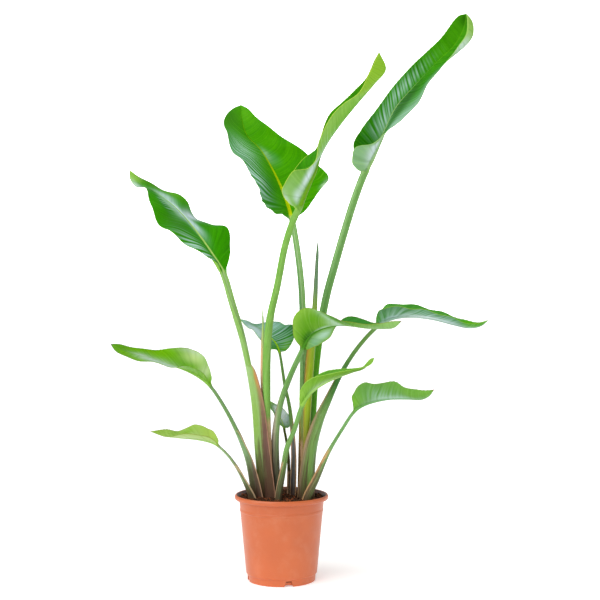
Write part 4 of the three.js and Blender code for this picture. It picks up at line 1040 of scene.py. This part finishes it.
def leaf_material(name, look):
    """A leaf's finish: its faces, veins, pale wax with a painted sheen, painted shade in the pleats, rib,
    margins, stalk with a painted highlight, and sheath.
    """
    finish = Finish(name + "_finish", specular=look["gloss"])
    finish.shader["Specular Tint"].default_value = GLOSS_TINT
    rise, mix, share_of, streaks = finish.rise, finish.mix, finish.share, finish.streaks
    out, reach, core, vein, wing, to_edge, pleat, share = (
        finish.fact(key)
        for key in ("out", "reach", "core", "vein", "wing", "to_edge", "pleat", "share")
    )
    upper = rise(*NARROW, finish.fact("upper"))
    on_blade = rise(-0.02, 0.02, out)
    shade = shades(look)

    # Streaks that follow the side veins: broad ones, fine ones and thin vein lines.
    side = finish.sum("SIGN", share) * 7.0
    broad = streaks(vein, 0.11, reach, 0.012, side)
    fine = streaks(vein, 0.3 * look["grain"], reach, 0.012, side)
    wave = finish.sum("COSINE", vein * (math.pi / VEIN_GAP))
    line = finish.sum("POWER", abs(wave), 8.0) * rise(0.35, 0.7, fine)
    ridge = pleat + (fine - 0.5) * look["streaky"]
    streak = rise(0.17 - look["soft"], 0.17 + look["soft"], ridge)
    tip = rise(look["tip_from"], look["tip_from"] + 0.1, out)

    patchy = rise(*NARROW, broad)
    face = mix(tip, mix(patchy, shade["deep_green"], shade["upper"]), shade["tip"])
    under = mix(tip, mix(patchy, shade["under"], shade["under_deep"]), shade["under_tip"])
    blade = mix(upper, under, face)
    tint = finish.fact("tint", "Color")
    tint_amount = share_of(finish.fact("tint", "Alpha"), (broad - 0.5) * 0.5 + 1.0)
    blade = mix(tint_amount, blade, tint)
    blade = mix(line * look["lines"], blade, mix(upper, shade["under_vein"], shade["vein"]))
    # Painted shade darkens the hollows between the pleats.
    blade = mix(rise(0.0, -1.0, ridge) * look["folds"], blade, shade["fold"])
    # Pale wax with a painted sheen, streaked along the pleat ridges.
    blade = mix(share_of(finish.fact("bloom"), streak), blade, shade["pale_wax_and_sheen"])

    # The rib shows in its channel above, and as a round keel below.
    wide = rise(0.0, 0.7, out, look["rib_wide"], 0.4)
    beside = reach / (finish.sum("MAXIMUM", core, 0.9) * wide)
    in_rib = rise(1.15, 0.7, beside) * rise(1.0, 0.7, out, 0.25, 0.9)
    rib = mix(rise(0.1, 0.75, out), shade["rib"], shade["rib_tip"])
    blade = mix(in_rib * upper, blade, rib)
    keel = rise(1.15, 0.8, reach / core) * rise(look["keel_end"] + 0.08, look["keel_end"], out)
    blade = mix(keel * ((1.0 - upper) * look["keel_amount"]), blade, shade["keel"])
    blade = mix(rise(0.8, 0.2, to_edge - fine * 0.6, 0.0, 0.85), blade, shade["margin"])
    dry = rise(look["dry_from"], look["dry_from"] + 0.02, out) + (fine - 0.5) * 0.6
    blade = mix(rise(0.5, 0.9, dry), blade, shade["dry"])

    # Stalk: long fibres, a painted highlight band down it, and a browner sheath towards the soil, darkened
    # by stains and painted shade, with torn pale hems.
    fibres = streaks(share, 9.0, out, 1.6, 3.0)
    mottle = finish.noise(60.0, 3.0, 0.6)
    stalk = mix(rise(*BROAD, fibres), shade["stalk"], shade["stalk_dark"])
    stalk = mix(rise(0.45, 0.75, mottle, 0.0, 0.25), stalk, shade["stalk_light_and_highlight"])
    # A painted highlight: a pale band down the stalk, a little to one side of its middle line.
    highlight_band = 1.0 - abs(share + 0.25) * 2.6 + (fibres - 0.5) * 1.6
    stalk = mix(rise(0.0, 1.0, highlight_band, 0.0, 0.6), stalk, shade["stalk_light_and_highlight"])
    low = finish.axes()[2] + (fibres - 0.5) * 0.09
    stalk = mix(rise(look["base_top"] * MM, look["base_low"] * MM, low), stalk, shade["base"])
    stalk = mix(share_of(tint_amount, rise(0.2, 0.8, fibres, 0.75, 1.25)), stalk, tint)
    # Streaks that darken towards the soil: partly real stains and partly painted shade where the stalks
    # crowd.
    stains_and_shade = streaks(share * STAIN_AND_SHADE_SPREAD, 0.3, out, 3.0, 5.0)
    stains_and_shade = rise(0.42, 0.6, stains_and_shade + rise(0.36, SOIL_TOP * MM, low, -0.22, 0.12))
    stalk = mix(stains_and_shade * 0.7, stalk, shade["stain_and_shade"])
    stalk = mix(rise(SOIL_TOP * MM + 0.03, SOIL_TOP * MM, low, 0.0, 0.75), stalk, shade["earth"])
    hem = rise(look["hem_width"], 0.0, to_edge - mottle * 3.0) * rise(0.02, 0.2, wing)
    stalk = mix(hem * 0.75, stalk, shade["hem"])

    finish.rough(rise(*BROAD, finish.noise(140.0), 0.36, 0.5))
    relief = fine + finish.noise(900.0) * 0.25 + line * 0.35
    finish.bump(mix(on_blade, fibres, relief), RELIEF["leaf"])
    return finish.paint(mix(on_blade, stalk, blade))


def spear_material(name, look):
    """A rolled leaf: green above, with a pale rolled edge, and yellow to tan below."""
    finish = Finish(name + "_finish", roughness=0.4)
    rise, mix = finish.rise, finish.mix
    shade = shades(look)
    turn, height = finish.fact("turn"), finish.axes()[2]
    streaks = finish.streaks(turn, 14.0, height, 9.0)
    body = mix(rise(*BROAD, streaks), shade["green"], shade["light"])
    wander = height + (streaks - 0.5) * 0.08
    top, tan_top, brown_top = (look[key] * MM for key in ("top_from", "tan_top", "brown_top"))
    body = mix(rise(top, top + 0.09, wander), body, shade["top"])
    body = mix(rise(look["low_top"] * MM, look["low_from"] * MM, wander), body, shade["low"])
    tan = rise(look["tan_wide"], 0.02, abs(turn)) * rise(tan_top, tan_top - 0.06, wander)
    body = mix(tan, body, shade["tan"])
    body = mix(rise(0.03, 0.0, abs(turn)) * 0.7, body, shade["seam"])
    brown = rise(brown_top, brown_top - 0.12, wander) * rise(0.25, 0.6, streaks, 0.55, 1.0)
    body = mix(brown, body, shade["brown"])
    earth = rise(SOIL_TOP * MM + 0.06, SOIL_TOP * MM, wander)
    body = mix(earth * 0.8, body, shade["earth"])
    finish.bump(streaks, RELIEF["spear"])
    return finish.paint(body)


def pot_material():
    """Satin terracotta plastic, with faint flow marks, a little dust, and painted shade on the wall
    inside.
    """
    finish = Finish("pot_plastic", roughness=0.36, specular=0.55)
    rise, mix, noise = finish.rise, finish.mix, finish.noise
    shade = shades(POT_LOOK)
    flow = noise(9.0, 3.0, 0.55)
    body = mix(rise(*BROAD, flow), shade["clay"], shade["light"])
    body = mix(rise(0.55, 0.75, noise(420.0, 2.0, 0.6)) * 0.25, body, shade["speck"])
    body = mix(rise(0.45, 0.8, noise(30.0, 4.0, 0.65)) * 0.12, body, shade["dust"])
    # Painted shade darkens the wall inside, above the soil.
    x, y, z = finish.axes()
    far = finish.sum("SQRT", x * x + y * y)
    wall, lip = (POT["top_radius"] - 1.4) * MM, (POT["lip_radius"] - 4.2) * MM
    inside = finish.sum("LESS_THAN", far, rise(LIP_LOW * MM, (LIP_LOW + 1) * MM, z, wall, lip))
    inside = inside * rise(*INNER_SHADE_FROM, z) * rise(*BROAD, noise(50.0, 3.0), 0.75, 1.0)
    body = mix(inside, body, shade["inner_wall_shade"])
    finish.rough(rise(*BROAD, flow, 0.3, 0.4))
    finish.bump(noise(700.0, 3.0, 0.6), RELIEF["pot"])
    return finish.paint(body)


def soil_material():
    """Dark fibrous potting soil."""
    finish = Finish("soil_earth", roughness=0.95, specular=0.1)
    shade = shades(SOIL_LOOK)
    clod = finish.noise(160.0, 4.0, 0.65)
    body = finish.mix(finish.rise(*NARROW, clod), shade["dark"], shade["brown"])
    crumb = finish.rise(0.6, 0.75, finish.noise(420.0, 3.0, 0.6))
    body = finish.mix(crumb, body, shade["crumb"])
    body = finish.mix(finish.fact("fibre"), body, shade["fibre"])
    finish.bump(clod, RELIEF["soil"])
    return finish.paint(body)


def crown_material():
    """The buried stem: pale, with rings of old leaf scars."""
    finish = Finish("crown_flesh", roughness=0.8, specular=0.2)
    shade = shades(CROWN_LOOK)
    place = finish.made("CombineXYZ", 0.0, 0.0, finish.axes()[2] * 220.0).outputs[0]
    ring = finish.noise(1.0, 3.0, 0.6, Value(finish, place))
    body = finish.mix(finish.rise(*NARROW, ring), shade["flesh"], shade["pale"])
    body = finish.mix(finish.rise(0.55, 0.75, finish.noise(90.0, 3.0)), body, shade["scar"])
    finish.bump(ring, RELIEF["crown"])
    return finish.paint(body)


def make_spear(name, spear):
    """A rolled leaf: a spiral section whose outer edge overlaps, tapering to a point."""
    line = Line(spear["line"])
    count = int(line.length / SPEAR_STEP)
    share = np.arange(count + 1) / count
    place, along = line.at(share), line.along(share)
    front = square((0, -1, 0), along)
    right = np.cross(along, front)
    at, radii = np.array(spear["radii"], float).T
    radius = np.interp(share, at, radii)
    turn = np.arange(SPEAR_SIDES) / SPEAR_SIDES
    # The rolled edge stands on the front, and creeps round the spear.
    creep = turn[None, :] + ROLL["twist"] * share[:, None] + ROLL["start"] + spear["edge"]
    angle = 2 * math.pi * creep
    step = 1 - ROLL["overlap"] + ROLL["overlap"] * np.minimum(turn * 1.04, 1)
    step = np.where(turn < 0.5 / SPEAR_SIDES, 1.0, step)
    spread = radius[:, None] * lerp(1.0, step[None, :], smooth(1.0, 0.9, share)[:, None])
    across = right[:, None] * each(spread * np.cos(angle))
    rings = place[:, None] + across - front[:, None] * each(spread * np.sin(angle))
    rings[0, :, 2] = FOOT
    index = grid(len(rings), SPEAR_SIDES)
    faces = skin(index).tolist() + [index[0][::-1].tolist(), index[-1].tolist()]
    signed = np.broadcast_to(np.where(turn > 0.5, turn - 1, turn), rings.shape[:2])
    piece = mesh_piece(name, rings.reshape(-1, 3), faces, "rolled_leaf", {"turn": signed.ravel()})
    dress(piece, spear_material(name, SPEAR_LOOKS[name]), SHARP["spear"])


def wall_radius(z):
    share = (z - POT["foot_height"]) / (LIP_LOW - POT["foot_height"])
    return lerp(POT["low_radius"], POT["top_radius"], share)


def inner_radius(z):
    return wall_radius(z) - POT["wall"]


def rounded(profile, corners):
    """Rounds the corners of a profile; corners gives each place's radius."""
    profile = np.array(profile, float)
    places = []
    for i, (corner, radius) in enumerate(zip(profile, corners)):
        if radius == 0:
            places.append(corner)
            continue
        before, after = profile[i - 1] - corner, profile[i + 1] - corner
        start, end = (
            corner + unit(way) * min(radius, 0.45 * np.linalg.norm(way)) for way in (before, after)
        )
        for t in np.linspace(0, 1, CORNER_STEPS):
            places.append((1 - t) ** 2 * start + 2 * t * (1 - t) * corner + t**2 * end)
    return np.array(places)


def turned(profile, sides):
    """Turns a closed profile that starts and ends on the axis into places and faces."""
    angle = around(sides)
    inner = profile[1:-1]
    radii, heights = inner[:, :1], np.broadcast_to(inner[:, 1:], (len(inner), sides))
    rings = np.stack([radii * np.cos(angle), radii * np.sin(angle), heights], -1)
    places = np.vstack([rings.reshape(-1, 3), [[0, 0, profile[0, 1]], [0, 0, profile[-1, 1]]]])
    index = grid(len(inner), sides)
    after = np.roll(index, -1, axis=1)
    low, top = len(places) - 2, len(places) - 1
    faces = skin(index).tolist()
    faces += [[low, after[0, j], index[0, j]] for j in range(sides)]
    faces += [[top, index[-1, j], after[-1, j]] for j in range(sides)]
    return places, faces


def cut(piece, shapes):
    """Cuts closed shapes, each places and faces in millimetres, out of a piece."""
    cutter_mesh = bpy.data.meshes.new("cutter")
    places, faces = [], []
    for shape_places, shape_faces in shapes:
        faces += [[i + len(places) for i in face] for face in shape_faces]
        places += (np.array(shape_places) * MM).tolist()
    cutter_mesh.from_pydata(places, [], faces)
    cutter = placed("cutter", cutter_mesh)
    modifier = piece.modifiers.new("cut", "BOOLEAN")
    modifier.operation = "DIFFERENCE"
    modifier.object = cutter
    modifier.solver = "EXACT"
    bpy.context.view_layer.update()
    shape = piece.evaluated_get(bpy.context.evaluated_depsgraph_get())
    piece.modifiers.clear()
    piece.data = bpy.data.meshes.new_from_object(shape)
    bpy.data.objects.remove(cutter)
    bpy.data.meshes.remove(cutter_mesh)


def prism(low, top, floor, ceiling, start, end, turn):
    """A bar along +X from start to end, low wide at its floor and top wide at its ceiling,
    turned about +Z."""
    section = [(-low / 2, floor), (low / 2, floor), (top / 2, ceiling), (-top / 2, ceiling)]
    cos, sin = math.cos(turn), math.sin(turn)
    places = [
        (x * cos - across * sin, x * sin + across * cos, height)
        for x in (start, end)
        for across, height in section
    ]
    n = len(section)
    sides = [[i, (i + 1) % n, n + (i + 1) % n, n + i] for i in range(n)]
    return places, [list(range(n))[::-1], list(range(n, 2 * n)), *sides]


def pot_outline():
    """The pot's section from the middle of its underside round to the middle of its floor:
    radius, height and how round the corner is."""
    foot, lip, top = POT["foot_radius"], POT["lip_radius"], POT["height"]
    step, under, floor = POT["foot_height"], POT["floor_under"], POT["floor_top"]
    ridge = POT["ridge_at"]
    ridge_radius = wall_radius(ridge) + POT["ridge"]
    return [
        (0, 0, 0),
        (POT["centre_foot"], 0, 0.8),
        (POT["centre_foot"] + 2, under, 0.8),
        (foot - 5.5, under, 0.8),
        (foot - 3.5, 0, 0.9),
        (foot, 0, 1.2),
        (foot + 0.8, step - 1.5, 1.5),
        (wall_radius(step), step, 1.5),
        (wall_radius(ridge - 3), ridge - 3, 1.0),
        (ridge_radius, ridge - 2, 1.0),
        (ridge_radius, ridge + 2, 1.0),
        (wall_radius(ridge + 3), ridge + 3, 1.0),
        (wall_radius(LIP_LOW - 1.5), LIP_LOW - 1.5, 1.0),
        (lip - 1.5, LIP_LOW, 1.0),
        (lip, LIP_LOW + 2, 1.0),
        (lip, top - 3, 1.4),
        (lip - 1.6, top - 0.6, 1.0),
        (lip - 3.2, top, 1.0),
        (lip - 4.6, top - 1.2, 1.0),
        (inner_radius(LIP_LOW) + 1.2, LIP_LOW, 1.0),
        (inner_radius(LIP_LOW - 3), LIP_LOW - 3, 1.0),
        (inner_radius(step), step, 2.0),
        (foot - 3, floor, 2.0),
        (0, floor, 0),
    ]


def make_pot():
    outline = pot_outline()
    profile = rounded([place[:2] for place in outline], [place[2] for place in outline])
    places, faces = turned(profile, POT["sides"])
    piece = mesh_piece("pot", places, faces, "pot")
    foot, wide = POT["foot_radius"], DRAIN["width"]
    under, floor = POT["floor_under"] - 1, POT["floor_top"] + 1
    shapes = []
    for i in range(NOTCH["count"]):
        turn = math.radians(NOTCH["first"] - 90 + i * 360 / NOTCH["count"])
        shapes.append(prism(NOTCH["low"], NOTCH["top"], -1, NOTCH["height"], foot - 4.5, foot + 12, turn))
        shapes.append(prism(wide, wide, under, floor, DRAIN["from"], DRAIN["to"], turn))
    cut(piece, shapes)
    dress(piece, pot_material(), SHARP["pot"])


def soil_top(x, y):
    """The soil's uneven height: slow waves, then clods and crumbs."""
    swell = np.sin(x * 0.11 + 1.3) * np.cos(y * 0.09) + np.sin((x - y) * 0.17)
    clods = np.sin(x * 0.71 + 2 * np.sin(y * 0.33)) * np.sin(y * 0.63 + 2 * np.sin(x * 0.29))
    crumbs = np.sin(x * 1.9 + 3 * np.sin(y * 0.9)) * np.sin(y * 2.1 + 3 * np.sin(x * 0.8))
    return SOIL_TOP + 0.5 * SOIL["relief"] * swell + 0.9 * clods + 0.5 * crumbs


def lump(draw):
    """A small uneven lump with eight corners cut off a ball."""
    places = np.array([(1, 0, 0), (-1, 0, 0), (0, 1, 0), (0, -1, 0), (0, 0, 1), (0, 0, -1)], float)
    corners = np.array(list(itertools.product((-1, 1), repeat=3)))
    places = np.vstack([places, corners * 0.62]) * draw.uniform(0.75, 1.2, (14, 1))
    faces = []
    for sx, sy, sz in itertools.product((0, 1), repeat=3):
        corner = 6 + 4 * sx + 2 * sy + sz
        x, y, z = (0 if sx else 1), (2 if sy else 3), (4 if sz else 5)
        for a, b in ((x, y), (y, z), (z, x)):
            faces.append([corner, a, b] if (sx + sy + sz) % 2 == 1 else [corner, b, a])
    return places, faces


def somewhere(draw, outer, within):
    """A random place on the soil."""
    far, turn = outer * math.sqrt(draw.uniform(0, within)), draw.uniform(0, 2 * math.pi)
    return far * math.cos(turn), far * math.sin(turn)


def soil_crumb(draw, outer):
    x, y = somewhere(draw, outer, CRUMBS["within"])
    size = draw.uniform(*CRUMBS["size"])
    places, faces = lump(draw)
    tilt = draw.normal(0, 1, (3, 3))
    places = places @ np.linalg.qr(tilt)[0] * (size, size, 0.8 * size)
    places = places + (x, y, float(soil_top(x, y)) + 0.3 * size)
    return places.tolist(), faces, float(draw.uniform() < CRUMBS["fibrous"])


def soil_fibre(draw, outer):
    x, y = somewhere(draw, outer, FIBRES["within"])
    heading, length = draw.uniform(0, 2 * math.pi), draw.uniform(*FIBRES["length"])
    bend = draw.normal(0, 0.5)
    thick, lean = draw.uniform(*FIBRES["thick"]), draw.uniform(0.0, 0.25)
    steps, sides = FIBRES["steps"], FIBRES["sides"]
    places = []
    for s in np.arange(steps + 1) / steps:
        way = heading + bend * s
        cx, cy = x + s * length * math.cos(way), y + s * length * math.sin(way)
        cz = float(soil_top(cx, cy)) + 0.5 + 4 * lean * s * (1 - s) * length * 0.5
        radius = thick * (0.3 + 0.7 * math.sin(math.pi * min(max(s, 0.08), 0.92)))
        for a in around(sides):
            side = radius * math.cos(a)
            places.append([
                cx - side * math.sin(way),
                cy + side * math.cos(way),
                cz + radius * math.sin(a),
            ])
    index = grid(steps + 1, sides)
    return places, skin(index).tolist() + [index[0][::-1].tolist(), index[-1].tolist()], 1.0


def make_soil():
    draw = np.random.default_rng(SOIL["seed"])
    wall_top = LIP_LOW - 3
    outer = inner_radius(wall_top) - 0.3 + 1.6
    angle = around(SOIL["sides"])
    walls = [
        (POT["foot_radius"] - 3.6, POT["floor_top"] + 0.3),
        (inner_radius(POT["foot_height"]) - 0.6, POT["foot_height"]),
        (outer - 2.0, wall_top),
    ]
    rings = [
        np.stack([r * np.cos(angle), r * np.sin(angle), np.full_like(angle, z)], -1) for r, z in walls
    ]
    for share in np.linspace(1, 0.004, SOIL["rings"]):
        x, y = share * outer * np.cos(angle), share * outer * np.sin(angle)
        rings.append(np.stack([x, y, soil_top(x, y)], -1))
    index = grid(len(rings), SOIL["sides"])
    faces = skin(index).tolist() + [index[0][::-1].tolist(), index[-1].tolist()]
    places = np.vstack(rings).tolist()
    fibre = [0.0] * len(places)
    for table, make in ((CRUMBS, soil_crumb), (FIBRES, soil_fibre)):
        for _ in range(table["count"]):
            more_places, more_faces, fibrous = make(draw, outer)
            faces += [[len(places) + i for i in face] for face in more_faces]
            places += more_places
            fibre += [fibrous] * len(more_places)
    piece = mesh_piece("soil", np.array(places), faces, "soil", {"fibre": np.array(fibre)})
    piece.data.materials.append(soil_material())


def dress_crowns():
    finish = crown_material()
    for name in ("crown_left", "crown_right"):
        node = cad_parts[name]
        node.data.materials.clear()
        node.data.materials.append(finish)


def make_camera():
    camera = placed("camera", bpy.data.cameras.new("camera"))
    camera.data.lens = CAMERA["lens"]
    camera.data.sensor_width = CAMERA["sensor"]
    camera.data.clip_end = 100
    camera.location = CAMERA["place"]
    camera.rotation_euler = (math.radians(90), 0, 0)
    bpy.context.scene.camera = camera


def make_floor():
    mesh = bpy.data.meshes.new("floor")
    ring = [
        (FLOOR["radius"] * math.cos(a), FLOOR["radius"] * math.sin(a), -FLOOR["drop"])
        for a in around(FLOOR["sides"])
    ]
    mesh.from_pydata(ring, [], [list(range(FLOOR["sides"]))])
    finish = Finish("floor_paper", roughness=0.9, specular=0.0)
    finish.glow(FLOOR["glow"])
    grain = finish.rise(*BROAD, finish.noise(3.0))
    mesh.materials.append(finish.paint(finish.mix(grain, *((g, g, g, 1) for g in FLOOR["grey"]))))
    placed("floor", mesh)


def make_surround():
    mesh = bpy.data.meshes.new("surround")
    shell = bmesh.new()
    bmesh.ops.create_icosphere(shell, subdivisions=4, radius=SURROUND["radius"])
    shell.to_mesh(mesh)
    shell.free()
    white = Finish("surround_white", roughness=1.0, specular=0.0)
    white.glow(SURROUND["glow"])
    mesh.materials.append(white.paint(WHITE))
    dome = placed("surround", mesh)
    # Only the camera sees the surround: the light is the world's and the lamps'.
    dome.visible_diffuse = False
    dome.visible_glossy = False
    dome.visible_transmission = False
    dome.visible_shadow = False


def make_light():
    world = bpy.data.worlds.new("studio")
    world.use_nodes = True
    background = world.node_tree.nodes["Background"].inputs
    background["Color"].default_value = WHITE
    background["Strength"].default_value = WORLD_LIGHT
    bpy.context.scene.world = world
    for name, (azimuth, elevation, strength, soft) in LAMPS.items():
        lamp = placed(name, bpy.data.lights.new(name, "SUN"))
        lamp.data.energy = strength
        lamp.data.angle = math.radians(soft)
        lamp.rotation_euler = (math.radians(90 - elevation), 0, math.radians(azimuth))


bpy.context.scene.view_settings.view_transform = "Standard"
make_camera()
make_floor()
make_surround()
make_light()
for leaf_name, leaf in LEAVES.items():
    make_leaf(leaf_name, leaf)
for spear_name, spear in SPEARS.items():
    make_spear(spear_name, spear)
make_pot()
make_soil()
dress_crowns()
